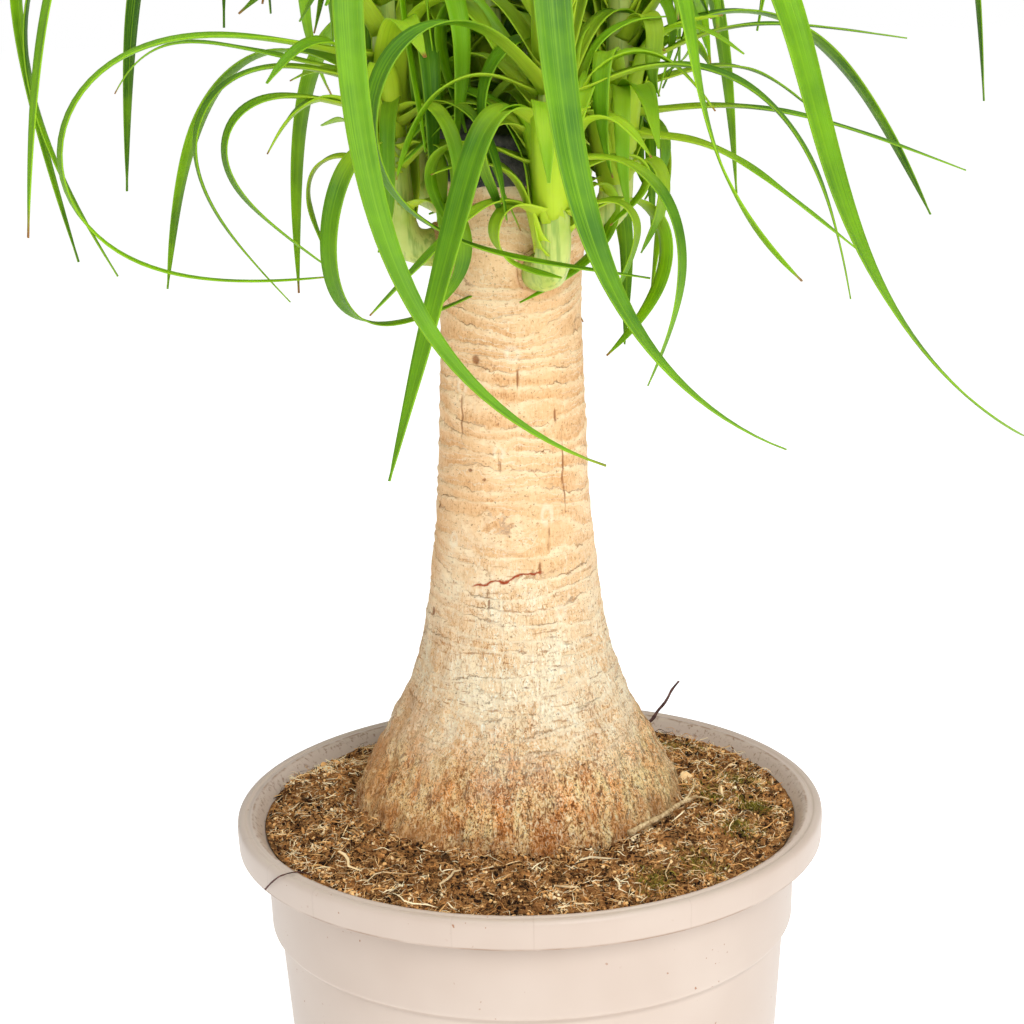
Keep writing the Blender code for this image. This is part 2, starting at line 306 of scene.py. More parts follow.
def grow(start, heading, sweep, launch, tip, arch, soft, length, joints):
    """Points, directions and upper-side normals along a leaf or a shoot."""
    stations = []
    point = Vector(start)
    step = length / joints
    for i in range(joints + 1):
        along = i / joints
        drift = sweep * along ** 3
        slope = launch + (tip - launch) * turn_over(along, arch, soft)
        pitch = math.radians(slope + DRIFT_LIFT * max(drift, 0.0))
        compass = math.radians(heading + drift)
        forward = direction(compass, pitch)
        normal = direction(compass, pitch + math.pi / 2)
        stations.append((point.copy(), forward, normal))
        point = point + forward * step
    return stations


def shoot_stations(name):
    """The middle line of a side shoot, from the bark outwards and up."""
    compass, height, length = SHOOTS[name]
    lean = height * MM * math.tan(TRUNK_LEAN)
    axis = Vector((TRUNK_BASE_X + lean, 0.0, RIM_HEIGHT + height * MM))
    start = axis + direction(math.radians(compass), 0.0) * (TOP_RADIUS + 3 * GAP)
    return grow(start, compass, 0, 0, 88, SHOOT_BEND, SHOOT_BEND / 2, length * MM, SHOOT_JOINTS)


def shoot_radius(along):
    """Radius of a shoot, along its length from 0 to 1."""
    return SHOOT_RADIUS + (SHOOT_TIP_RADIUS - SHOOT_RADIUS) * along


def shoot_point(name, up):
    """Middle and radius of a shoot, a distance in millimetres up its line."""
    stations = shoot_stations(name)
    share = up / SHOOTS[name][2]
    place = share * (len(stations) - 1)
    low = min(int(place), len(stations) - 2)
    return stations[low][0].lerp(stations[low + 1][0], place - low), shoot_radius(share)


def leaf_start(shoot, up, heading):
    """Where a leaf leaves its shoot's skin."""
    centre, radius = shoot_point(shoot, up)
    return centre + direction(math.radians(heading), 0.0) * (radius + 3 * GAP)


print("a level leaf ends", grow((0, 0, 0), 0, 0, 60, -80, 0.4, 0.12, 0.3, 12)[-1][0])

# %% [markdown]
# ## Soft random relief
#
# Bark, wax and soil are rough at several sizes at once. This helper gives a number between
# about -1 and 1 at each point: random values on a lattice, blended smoothly, with finer and
# weaker lattices added. It is the same on every run, because the values come from whole
# numbers and not from a clock.

# %% Random relief
def rough(points, grain, seed, octaves=3):
    """Relief whose largest bumps are about one grain across."""
    total = np.zeros(len(points))
    strength = 1.0
    for octave in range(octaves):
        cell = points / grain * 2.0 ** octave + seed * 13.7
        base = np.floor(cell).astype(np.int64)
        share = cell - base
        share = share * share * (3.0 - 2.0 * share)
        for corner in range(8):
            step = np.array([corner & 1, corner >> 1 & 1, corner >> 2 & 1])
            weight = np.prod(np.where(step == 1, share, 1.0 - share), axis=1)
            key = (base + step) @ np.array([73856093, 19349663, 83492791]) + seed * 1013
            key = (key ^ (key >> 13)) * 1274126177
            value = ((key ^ (key >> 16)) & 0xFFFF) / 32767.5 - 1.0
            total += strength * weight * value
        strength *= 0.5
    return total


def bell(distance, reach):
    """1 at no distance, falling smoothly to nothing a few reaches away."""
    return np.exp(-(distance / reach) ** 2)


# %% [markdown]
# ## Turned shapes
#
# The pot is injection moulded, and the trunk and the wax are round as well, so each begins
# as a circle that is extruded upwards and resized, ring after ring, as a potter would throw
# it. Both ends shrink to a small ring that a face closes.

# %% Throwing a shape ring by ring
def turned(name, rings, segments, centre_x=0.0):
    """A closed round shape through (radius, height) rings."""
    select_nothing()
    radius, height = rings[0]
    bpy.ops.mesh.primitive_circle_add(vertices=segments, radius=radius, location=(centre_x, 0.0, height))
    piece = named(name)
    bpy.ops.object.mode_set(mode="EDIT")
    bpy.ops.mesh.select_all(action="SELECT")
    bpy.ops.mesh.edge_face_add()
    bpy.ops.mesh.select_all(action="SELECT")
    for next_radius, next_height in rings[1:]:
        bpy.ops.mesh.extrude_region_move(TRANSFORM_OT_translate={"value": (0.0, 0.0, next_height - height)})
        growth = next_radius / radius
        bpy.ops.transform.resize(value=(growth, growth, 1.0), center_override=(centre_x, 0.0, next_height))
        radius, height = next_radius, next_height
    face_outwards()
    return settle(piece)


def rounded(corner, toward_first, toward_last, radius, steps=4):
    """Rings that round a profile's corner between its two neighbours."""
    corner = np.array(corner)
    first, last = (corner + (np.array(end) - corner) / np.linalg.norm(np.array(end) - corner) * radius
                   for end in (toward_first, toward_last))
    arc = []
    for i in range(steps + 1):
        share = i / steps
        arc.append(tuple((1 - share) ** 2 * first + 2 * share * (1 - share) * corner + share ** 2 * last))
    return arc


# %% [markdown]
# ## The nursery pot
#
# A thin polypropylene pot: a wall that tapers to the foot, a small step where pots nest, and
# a lip that is folded outwards and hangs down. The lip's top carries a shallow groove. The
# profile runs from the middle of the inner floor out, up the inside, over the lip and down
# to the underside, so one row of rings gives the whole closed shell. Every corner is rounded
# by a millimetre or so, because that is what catches the light on moulded plastic.

# %% The pot's shell
POT_SEGMENTS = 192
LIP_DEPTH = 12 * MM
LIP_INNER_RADIUS = 112 * MM
COLLAR_RADIUS = 108.6 * MM
COLLAR_DEPTH = 46 * MM
STEP_RADIUS = 104 * MM
STEP_DEPTH = 50 * MM
FOOT_RADIUS = 93 * MM
WALL = 1.8 * MM
FLOOR_TOP = 6 * MM
UNDERSIDE = 4 * MM
HUB_RADIUS = 32 * MM
FOOT_RING = 84 * MM
DRAIN_HOLES = 8
DRAIN_CIRCLE = 62 * MM
DRAIN_RADIUS = 6 * MM


def pot_rings():
    """The pot's closed profile as rings, from the inner floor's middle to the underside's."""
    top = RIM_HEIGHT
    corners = [
        ((0.5 * MM, FLOOR_TOP), 0.0),
        ((FOOT_RADIUS - WALL, FLOOR_TOP), 1.5 * MM),
        ((STEP_RADIUS - WALL, top - STEP_DEPTH - 0.4 * MM), 0.8 * MM),
        ((COLLAR_RADIUS - 1.3 * MM - WALL, top - COLLAR_DEPTH + 0.4 * MM), 0.8 * MM),
        ((COLLAR_RADIUS - WALL, top - 8.0 * MM), 2.0 * MM),
        ((LIP_INNER_RADIUS, top - 1.2 * MM), 0.6 * MM),
        ((LIP_INNER_RADIUS + 1.4 * MM, top), 0.6 * MM),
        ((LIP_INNER_RADIUS + 2.6 * MM, top - 0.1 * MM), 0.3 * MM),
        ((LIP_INNER_RADIUS + 3.3 * MM, top - 0.55 * MM), 0.3 * MM),
        ((LIP_INNER_RADIUS + 4.2 * MM, top - 0.55 * MM), 0.3 * MM),
        ((LIP_INNER_RADIUS + 4.8 * MM, top - 0.05 * MM), 0.3 * MM),
        ((RIM_RADIUS - 0.3 * MM, top - 0.1 * MM), 2.2 * MM),
        ((RIM_RADIUS - 0.1 * MM, top - 4.0 * MM), 0.9 * MM),
        ((RIM_RADIUS - 0.5 * MM, top - LIP_DEPTH), 0.7 * MM),
        ((RIM_RADIUS - 0.5 * MM - WALL, top - LIP_DEPTH), 0.5 * MM),
        ((RIM_RADIUS - 0.5 * MM - WALL, top - WALL - 1.2 * MM), 0.8 * MM),
        ((COLLAR_RADIUS + 2.2 * MM, top - WALL - 1.2 * MM), 0.8 * MM),
        ((COLLAR_RADIUS, top - WALL - 4.5 * MM), 1.2 * MM),
        ((COLLAR_RADIUS - 1.2 * MM, top - COLLAR_DEPTH), 0.9 * MM),
        ((STEP_RADIUS + 0.5 * MM, top - COLLAR_DEPTH - 2.6 * MM), 0.9 * MM),
        ((STEP_RADIUS - 0.1 * MM, top - STEP_DEPTH), 0.6 * MM),
        ((FOOT_RADIUS, 0.0), 1.2 * MM),
        ((FOOT_RING, 0.0), 0.8 * MM),
        ((FOOT_RING - 1.0 * MM, UNDERSIDE), 0.8 * MM),
        ((HUB_RADIUS + 1.0 * MM, UNDERSIDE), 0.8 * MM),
        ((HUB_RADIUS, 0.0), 0.8 * MM),
        ((0.5 * MM, 0.0), 0.0),
    ]
    rings = [corners[0][0]]
    for (before, _), (here, radius), (after, _) in zip(corners, corners[1:], corners[2:]):
        rings += rounded(here, before, after, radius)
    rings.append(corners[-1][0])
    return rings


pot = turned("pot_shell", pot_rings(), POT_SEGMENTS)
for hole in range(DRAIN_HOLES):
    angle = math.tau * (hole + 0.5) / DRAIN_HOLES
    select_nothing()
    bpy.ops.mesh.primitive_cylinder_add(vertices=32, radius=DRAIN_RADIUS, depth=4 * FLOOR_TOP, location=(
        DRAIN_CIRCLE * math.cos(angle), DRAIN_CIRCLE * math.sin(angle), FLOOR_TOP))
    drill = settle(named("drill"))
    bore = pot.modifiers.new("drain", "BOOLEAN")
    bore.operation = "DIFFERENCE"
    bore.solver = "EXACT"
    bore.object = drill
    apply_modifiers(pot)
    bpy.data.objects.remove(drill, do_unlink=True)
alone(pot)
bpy.ops.object.shade_smooth_by_angle(angle=math.radians(40))
finished(pot, "taupe_plastic", "pot")
print("pot faces:", len(pot.data.polygons))

# %% [markdown]
# ## Taupe plastic
#
# Recycled plastic is never one flat colour: it has slow cloudy drift and a fine orange-peel
# skin. The lip carries faint moulding seams all round, a dirty line clings to its lower edge,
# and soil has left specks. Each is a mask made from the point's own place: its radius, its
# compass angle and its height.

# %% Plastic finish
LIP_SEAMS = 24


def plastic():
    """Matt moulded plastic with seams on the lip, dust and specks."""
    r = Recipe("taupe_plastic_finish")
    axes = r.add("ShaderNodeSeparateXYZ", Vector=r.place).outputs
    across = r.math("POWER", r.math("ADD", r.times(axes["X"], axes["X"]), r.times(axes["Y"], axes["Y"])),
                    0.5)
    depth = r.math("SUBTRACT", RIM_HEIGHT, axes["Z"])
    clouds = r.noise(14.0, 3.0, 0.5)
    grain = r.noise(900.0, 2.0, 0.6)
    colour = r.mix(r.ramp(clouds, 0.35, 0.65), linear(194, 176, 162), linear(203, 187, 174))
    compass = r.math("ARCTAN2", axes["Y"], axes["X"])
    turns = r.times(compass, LIP_SEAMS / math.tau)
    seam = r.math("PINGPONG", r.math("ADD", turns, 2.0 * LIP_SEAMS), 0.5)
    seam_line = r.ramp(seam, 0.0, 0.014, 1.0, 0.0)
    on_lip = r.ramp(across, LIP_INNER_RADIUS - 1.5 * MM, LIP_INNER_RADIUS - 0.8 * MM)
    faint = r.ramp(r.noise(16.0, 1.0), 0.42, 0.58, 0.1, 1.0)
    seams = r.times(r.times(seam_line, on_lip), faint)
    colour = r.mix(r.times(seams, 0.22), colour, linear(150, 128, 112))
    under_lip = r.times(r.ramp(depth, LIP_DEPTH - 1.1 * MM, LIP_DEPTH - 0.3 * MM),
                        r.ramp(depth, LIP_DEPTH + 0.1 * MM, LIP_DEPTH + 0.4 * MM, 1.0, 0.0))
    stain = r.times(under_lip, r.ramp(r.noise(60.0, 2.0), 0.35, 0.6, 0.15, 0.8))
    colour = r.mix(stain, colour, linear(132, 96, 66))
    speck = r.ramp(r.noise(420.0, 1.0, 0.5), 0.735, 0.76)
    rare = r.ramp(r.noise(30.0, 1.0), 0.52, 0.6)
    colour = r.mix(r.times(speck, r.times(rare, 0.8)), colour, linear(150, 92, 48))
    inner = r.times(r.ramp(across, LIP_INNER_RADIUS + 0.4 * MM, LIP_INNER_RADIUS + 2.2 * MM, 1.0, 0.0),
                    r.ramp(depth, 3.6 * MM, 4.6 * MM, 1.0, 0.0))
    dust = r.ramp(r.noise(420.0, 4.0, 0.7), 0.54, 0.64)
    colour = r.mix(r.times(inner, r.times(dust, 0.6)), colour, linear(126, 90, 60))
    brim = r.times(r.ramp(across, LIP_INNER_RADIUS + 0.8 * MM, LIP_INNER_RADIUS + 1.4 * MM),
                   r.ramp(across, LIP_INNER_RADIUS + 1.6 * MM, LIP_INNER_RADIUS + 2.2 * MM, 1.0, 0.0))
    brim = r.times(brim, r.ramp(depth, 2 * MM, 3 * MM, 1.0, 0.0))
    brim = r.times(brim, r.ramp(r.noise(150.0, 3.0, 0.7), 0.42, 0.58, 0.1, 0.75))
    colour = r.mix(brim, colour, linear(140, 104, 74))
    # Painted shade: the chamfer under the collar, down to the step, is darkened where shade falls.
    step = r.times(r.ramp(depth, COLLAR_DEPTH + 0.4 * MM, COLLAR_DEPTH + 1.4 * MM),
                   r.ramp(depth, STEP_DEPTH - 1.0 * MM, STEP_DEPTH + 0.6 * MM, 1.0, 0.0))
    colour = r.mix(r.times(step, 0.28), colour, linear(120, 98, 84))
    relief = r.bump(r.math("SUBTRACT", r.times(grain, 0.2), seams), 0.22, 0.0004)
    return r.finish(colour, r.ramp(clouds, 0.3, 0.7, 0.36, 0.46), relief, Specular_IOR_Level=0.45)


coat(pot, plastic())
print("pot finish done")

# %% [markdown]
# ## The trunk
#
# The caudex is one swollen stem: nearly straight above, flaring out to a broad foot that
# disappears into the soil. Its bark is corky. Above, wavy scalloped ridges run round it where
# leaves once grew. Lower down they break up into blocks, and on the foot the bark splits into
# upright fibrous ridges. A coarse cage is thrown first and subdivided three times. Then each
# point is moved outwards or inwards by the relief of the bark, as a sculptor would.

# %% The trunk's cage
TRUNK_HEIGHT = 280 * MM
TRUNK_ROOT = -72 * MM
# Height over the rim and radius, in millimetres, from the cut top down to the root.
TRUNK_OUTLINE = [
    (280, 28), (250, 28), (200, 28.3), (160, 29.5), (125, 31.3), (95, 34.2),
    (70, 38.4), (48, 45.2), (30, 53.6), (14, 61), (0, 67), (-14, 70), (-30, 68), (-46, 58), (-60, 40),
    (-72, 14),
]
CAGE_RINGS = 42
CAGE_SEGMENTS = 32
OUTLINE_SOFTNESS = 6 * MM

fine_heights = np.arange(TRUNK_ROOT, TRUNK_HEIGHT + MM, MM)
outline = np.array(TRUNK_OUTLINE[::-1]) * MM
fine_radii = np.interp(fine_heights, outline[:, 0], outline[:, 1])
window = bell(np.arange(-15, 16) * MM, OUTLINE_SOFTNESS)
padded = np.pad(fine_radii, 15, mode="reflect", reflect_type="odd")
fine_radii = np.convolve(padded, window / window.sum(), mode="valid")


def trunk_radius(height):
    """Mean radius of the trunk at a height over the rim."""
    return np.interp(height, fine_heights, fine_radii)


def trunk_axis_x(height):
    """The leaning axis of the trunk at a height over the rim."""
    return TRUNK_BASE_X + height * math.tan(TRUNK_LEAN)


cage_heights = np.linspace(TRUNK_ROOT, TRUNK_HEIGHT, CAGE_RINGS)
cage = [(1 * MM, RIM_HEIGHT + TRUNK_ROOT)]
cage += [(float(trunk_radius(height)), RIM_HEIGHT + float(height)) for height in cage_heights]
cage += [(20 * MM, RIM_HEIGHT + TRUNK_HEIGHT), (8 * MM, RIM_HEIGHT + TRUNK_HEIGHT)]
trunk = turned("trunk_bark", cage, CAGE_SEGMENTS)
subdivide(trunk, 3)
print("trunk points:", len(trunk.data.vertices))

# %% [markdown]
# ## Bark relief
#
# The ridges come from a phase that counts leaf scars upwards and is bent by slow relief, so
# that they wander and pinch. The phase itself is stored on the mesh: the material takes its
# fraction again, which draws the thin brown crack under each ridge far finer than the mesh.
# Bark also swells round each side shoot, as it does where a branch breaks out.

# %% Carving the bark
SHOOTS = {
    "left": (190, 234, 112),
    "front": (292, 228, 118),
    "right": (350, 244, 104),
    "back_right": (48, 252, 100),
    "back": (98, 240, 112),
    "back_left": (146, 250, 104),
}
SCAR_SPACING = 7.0 * MM
FRONT_FLATNESS = 0.03
WAX_SKIRT = 16 * MM

points = get_points(trunk)
height = points[:, 2] - RIM_HEIGHT
old_radius = np.hypot(points[:, 0], points[:, 1])
compass = np.arctan2(points[:, 1], points[:, 0])
barrel_radius = trunk_radius(height)
on_skin = (old_radius > 0.7 * barrel_radius) & (height > TRUNK_ROOT + 4 * MM)
on_barrel = np.stack([np.cos(compass) * barrel_radius, np.sin(compass) * barrel_radius, height], axis=1)
lying = on_barrel * np.array([0.55, 0.55, 1.6])
standing = on_barrel * np.array([1.0, 1.0, 0.22])

upper = np.clip((height - 70 * MM) / (50 * MM), 0.0, 1.0)
foot = np.clip((62 * MM - height) / (45 * MM), 0.0, 1.0)
middle = np.clip(1.0 - np.abs(height - 75 * MM) / (60 * MM), 0.0, 1.0)

phase = height / SCAR_SPACING + 1.25 * rough(lying, 36 * MM, 3, 2) + 0.42 * rough(lying, 11 * MM, 4, 2)
step_up = phase - np.floor(phase)
ridge = np.clip(step_up / 0.82, 0.0, 1.0) ** 1.6 * np.clip((1.0 - step_up) / 0.18, 0.0, 1.0)
ridge_strength = np.clip(0.75 + 0.7 * rough(on_barrel, 30 * MM, 5, 2), 0.15, 1.3)
fibres = rough(standing, 3.6 * MM, 6, 3)
blocks = rough(on_barrel, 5.5 * MM, 7, 3)
swell = rough(on_barrel, 26 * MM, 8, 2)
pits = np.clip(rough(on_barrel, 3.0 * MM, 9, 2) - 0.55, 0.0, 1.0)

relief = 0.55 * MM * swell
relief += upper * ridge_strength * (0.55 * MM * ridge - 0.25 * MM)
relief += middle * (0.55 * MM * blocks + 0.45 * MM * fibres + 0.35 * MM * ridge)
relief += foot * (1.25 * MM * fibres + 0.7 * MM * blocks + 2.4 * MM)
relief -= 1.0 * MM * pits + 0.5 * MM
deep = np.clip(rough(standing, 9 * MM, 11, 2) - 0.45, 0.0, 1.0) * foot
relief -= 3.4 * MM * deep

shoot_swell = np.zeros(len(points))
for compass_degrees, shoot_height, _ in SHOOTS.values():
    turn = np.angle(np.exp(1j * (compass - math.radians(compass_degrees))))
    away = np.hypot(turn * TOP_RADIUS, height - (shoot_height - 4) * MM)
    shoot_swell = np.maximum(shoot_swell, bell(away, 13 * MM))
relief += shoot_swell * 2.6 * MM

front = np.clip(-np.sin(compass), 0.0, 1.0) ** 2
flatten = 1.0 - FRONT_FLATNESS * front * np.clip((70 * MM - height) / (70 * MM), 0.0, 1.0)
under_wax = np.clip((height - (TRUNK_HEIGHT - WAX_SKIRT - 4 * MM)) / (6 * MM), 0.0, 1.0)
relief = relief * (1.0 - under_wax) - 0.8 * MM * under_wax
print("relief from", round(relief.min() / MM, 2), "to", round(relief.max() / MM, 2), "mm")

# %% [markdown]
# ## Scars, knots and cracks
#
# Lenticels are small breathing pores with a pale raised rim, knots are sunken hollows, and
# short upright cracks run between ridges. Those on the front are placed where this trunk
# carries them, and more are strewn round the back with a fixed seed. Each adds to a mark
# channel that the material reads: above zero it is a pale rim, below zero a dark hollow.

# %% Marks on the bark
# Across the front from the trunk's axis and height over the rim, then half width and half height (mm).
LENTICELS = [(0, 196, 2.0, 2.2), (-20, 182, 1.8, 1.8), (-6, 157, 1.6, 1.8), (13, 131, 1.8, 3.0),
             (-24, 120, 1.5, 2.2), (-14, 100, 1.8, 1.6), (18, 92, 1.8, 1.8), (22, 226, 1.6, 2.0)]
HOLLOWS = [(-14, 193, 2.4, 2.8), (-6, 168, 0.9, 0.9), (-17, 149, 1.4, 1.2), (-12, 146, 1.2, 1.0),
           (17, 170, 0.9, 4.5), (-31, 140, 1.6, 4.0), (-30, 131, 1.4, 3.0), (10, 110, 0.9, 4.0),
           (-33, 88, 1.8, 2.6)]
CRACKS = [(-20, 171, 0.45, 9.0), (2, 187, 0.4, 5.0), (-6, 153, 0.4, 4.0), (20, 148, 0.4, 17.0),
          (14, 122, 0.4, 6.0), (-11, 98, 0.45, 5.0), (-10, 26, 0.4, 8.0), (27, 20, 0.4, 6.0)]
STREWN_MARKS = 46

pick = random.Random(31)
marks = np.zeros(len(points))
wobble = 0.7 * MM * rough(on_barrel, 7 * MM, 12, 2)


def mark(centre_compass, centre_height, half_width, half_height, strength):
    """One mark with soft, wavering edges, at a compass angle and a height on the bark."""
    turn = np.angle(np.exp(1j * (compass - centre_compass)))
    away = np.hypot((turn * barrel_radius + wobble) / half_width, (height - centre_height) / half_height)
    return strength * bell(away, 1.0)


def front_compass(across, mark_height):
    """Compass angle of a place seen from the front, from its distance beside the axis."""
    return -math.acos(max(-1.0, min(1.0, across / float(trunk_radius(mark_height)))))


for group, rim_strength, hollow_strength in ((LENTICELS, 1.1, -1.2), (HOLLOWS, 0.35, -1.7)):
    for across, high, half_w, half_h in group:
        place = front_compass(across * MM, high * MM)
        marks += mark(place, high * MM, half_w * 1.5 * MM, half_h * 1.5 * MM, rim_strength)
        marks += mark(place, high * MM, half_w * 0.75 * MM, half_h * 0.75 * MM, hollow_strength)
for across, high, half_w, half_h in CRACKS:
    marks += mark(front_compass(across * MM, high * MM), high * MM, half_w * MM, half_h * MM, -1.3)
for _ in range(STREWN_MARKS):
    place = pick.uniform(0.15, math.pi - 0.15)
    high = pick.uniform(60, 255) * MM
    size = pick.uniform(1.1, 2.1) * MM
    marks += mark(place, high, size * 1.5, size * 1.6, 0.9)
    marks += mark(place, high, size * 0.7, size * 0.8, -1.4)
relief += np.clip(marks, -1.3, 1.2) * 0.55 * MM * (1.0 - under_wax)

radius = np.where(on_skin, barrel_radius * flatten + relief, old_radius)
points[:, 0] = np.cos(compass) * radius + trunk_axis_x(height)
points[:, 1] = np.sin(compass) * radius
set_points(trunk, points)
paint_channel(trunk, "phase", phase)
paint_channel(trunk, "marks", marks)
paint_channel(trunk, "ridge", ridge)
# Painted shade, over the fissures' own darker bark: this channel holds the deep fissures and the low places
# between the foot's fibres, which the material darkens.
paint_channel(trunk, "deep", np.clip(deep * 1.6 + np.clip(-fibres, 0, 1) * foot * 0.7, 0, 1))
paint_channel(trunk, "swollen", shoot_swell)
shade_smooth(trunk)
finished(trunk, "bark", "trunk")
print("trunk faces:", len(trunk.data.polygons))

# %% [markdown]
# ## Corky bark
#
# Dry bark is cream to tan, darker in every crack. Three looks follow each other down the
# trunk: scalloped cream ridges, each over a tan stripe that is partly the bark's own tan and
# partly painted shade, then pale speckled blocks, then orange-brown fibres that darken into
# the soil. The crack lines come from the stored phase, made a little ragged by fine noise,
# and grain is stretched upright for the fibres. Painted shade also darkens the deep fissures
# and the low fibres of the foot, over their own darker bark, and the left flank, away from
# the key light, is painted darker and warmer, over the bark's own warmer tone there.

# %% Bark finish
SPLIT_HEIGHT = 107 * MM


def bark():
    """Cork with scalloped scars, blocks, fibres, marks and specks."""
    r = Recipe("corky_bark_finish")
    axes = r.add("ShaderNodeSeparateXYZ", Vector=r.place).outputs
    high = r.math("SUBTRACT", axes["Z"], RIM_HEIGHT)
    ragged = r.times(r.math("SUBTRACT", r.noise(260.0, 4.0, 0.65, r.stretched((1, 1, 1.4))), 0.5), 0.75)
    counted = r.math("ADD", r.math("ADD", r.channel("phase"), ragged), 200.0)
    fraction = r.math("FRACT", counted)
    present = r.ramp(r.noise(70.0, 2.0, 0.5), 0.50, 0.62)
    crack = r.times(r.ramp(r.math("PINGPONG", fraction, 0.5), 0.0, 0.06, 1.0, 0.0), present)
    edge = r.times(r.ramp(fraction, 0.66, 0.80), r.ramp(fraction, 0.95, 1.0, 1.0, 0.0))
    contour = r.ramp(r.math("PINGPONG", r.times(counted, 3.0), 0.5), 0.0, 0.13, 1.0, 0.0)
    contour = r.times(contour, r.ramp(r.noise(55.0, 2.0, 0.5), 0.44, 0.58))
    # Painted shade: the tan stripe on the slope under each cream ridge is partly the bark's own tan and
    # partly painted shade.
    ridge_shade_band = r.times(r.ramp(fraction, 0.02, 0.10), r.ramp(fraction, 0.30, 0.62, 1.0, 0.0))
    clouds = r.noise(26.0, 4.0, 0.6)
    patches = r.noise(48.0, 4.0, 0.65)
    grain = r.noise(620.0, 5.0, 0.75, r.stretched((1, 1, 1.3)))
    upright = r.noise(430.0, 4.0, 0.7, r.stretched((1, 1, 0.16)), 0.4)
    streak = r.noise(150.0, 3.0, 0.6, r.stretched((1, 1, 0.25)))
    level = r.noise(260.0, 4.0, 0.7, r.stretched((0.4, 0.4, 2.4)))
    combs = r.noise(1300.0, 3.0, 0.7, r.stretched((1, 1, 0.3)), 0.5)
    threads = r.noise(1050.0, 4.0, 0.78, r.stretched((1, 1, 0.30)), 1.2)

    smooth = r.mix(r.ramp(clouds, 0.36, 0.64), linear(232, 189, 138), linear(247, 212, 166))
    # The tan stripe under each ridge: partly bark colour, partly painted shade.
    smooth = r.mix(r.times(ridge_shade_band, r.ramp(patches, 0.42, 0.60, 0.1, 0.7)), smooth, linear(220, 168, 114))
    teeth = r.times(r.ramp(combs, 0.54, 0.62),
                    r.times(r.ramp(ridge_shade_band, 0.2, 0.8, 0.12, 0.75), r.ramp(patches, 0.44, 0.58, 0.3, 1.0)))
    smooth = r.layers(
        smooth,
        (teeth, (186, 128, 78)),
        (r.ramp(combs, 0.36, 0.46, 0.35, 0.0), (252, 226, 186)),
        (r.times(edge, r.ramp(streak, 0.4, 0.6, 0.2, 0.6)), (255, 234, 196)),
        (r.times(contour, 0.65), (255, 242, 212)),
        (r.ramp(grain, 0.57, 0.64, 0.0, 0.65), (176, 118, 68)),
        (r.ramp(level, 0.58, 0.7, 0.0, 0.4), (206, 150, 96)),
        (r.times(crack, 0.7), (158, 98, 54)))

    blocks = r.add("ShaderNodeTexVoronoi", {"distance": "CHEBYCHEV"}, Vector=r.stretched((1, 1, 0.8)),
                   Scale=120.0, Randomness=0.8)
    toned = r.add("ShaderNodeSeparateColor", Color=blocks.outputs["Color"]).outputs["Red"]
    blocky = r.mix(r.math("ADD", r.times(toned, 0.5), r.ramp(clouds, 0.35, 0.65, 0.0, 0.5)),
                   linear(242, 198, 142), linear(255, 246, 214))
    blocky = r.layers(
        blocky,
        (r.ramp(threads, 0.4, 0.46, 0.9, 0.0), (255, 252, 232)),
        (r.times(r.ramp(threads, 0.55, 0.6), r.ramp(patches, 0.4, 0.6, 0.3, 1.0)), (176, 118, 64)),
        (r.ramp(upright, 0.58, 0.66, 0.0, 0.5), (190, 132, 78)),
        (r.ramp(level, 0.58, 0.64, 0.0, 0.65), (164, 108, 60)),
        (r.times(edge, 0.5), (255, 240, 208)),
        (r.ramp(grain, 0.59, 0.64, 0.0, 0.7), (128, 80, 42)),
        (r.times(crack, 0.55), (140, 88, 48)))

    fibrous = r.mix(r.ramp(streak, 0.38, 0.62), linear(250, 168, 90), linear(255, 222, 156))
    fibrous = r.layers(
        fibrous,
        (r.ramp(patches, 0.46, 0.62, 0.0, 0.5), (186, 106, 46)),
        (r.ramp(threads, 0.41, 0.47, 0.9, 0.0), (255, 240, 202)),
        (r.ramp(threads, 0.53, 0.57, 0.0, 0.95), (128, 64, 22)),
        (r.ramp(upright, 0.56, 0.62, 0.0, 0.8), (108, 56, 20)),
        (r.ramp(grain, 0.56, 0.61, 0.0, 0.9), (66, 34, 12)),
        # Painted shade in the deep fissures and low fibres, over their own darker bark.
        (r.times(r.channel("deep"), 0.32), (120, 68, 30)))

    wander = r.times(r.math("SUBTRACT", r.noise(40.0, 3.0), 0.5), 0.07)
    shifted = r.math("ADD", high, wander)
    colour = r.mix(r.ramp(shifted, 0.075, 0.130, 1.0, 0.0), smooth, blocky)
    colour = r.mix(r.ramp(shifted, 0.022, 0.058, 1.0, 0.0), colour, fibrous)
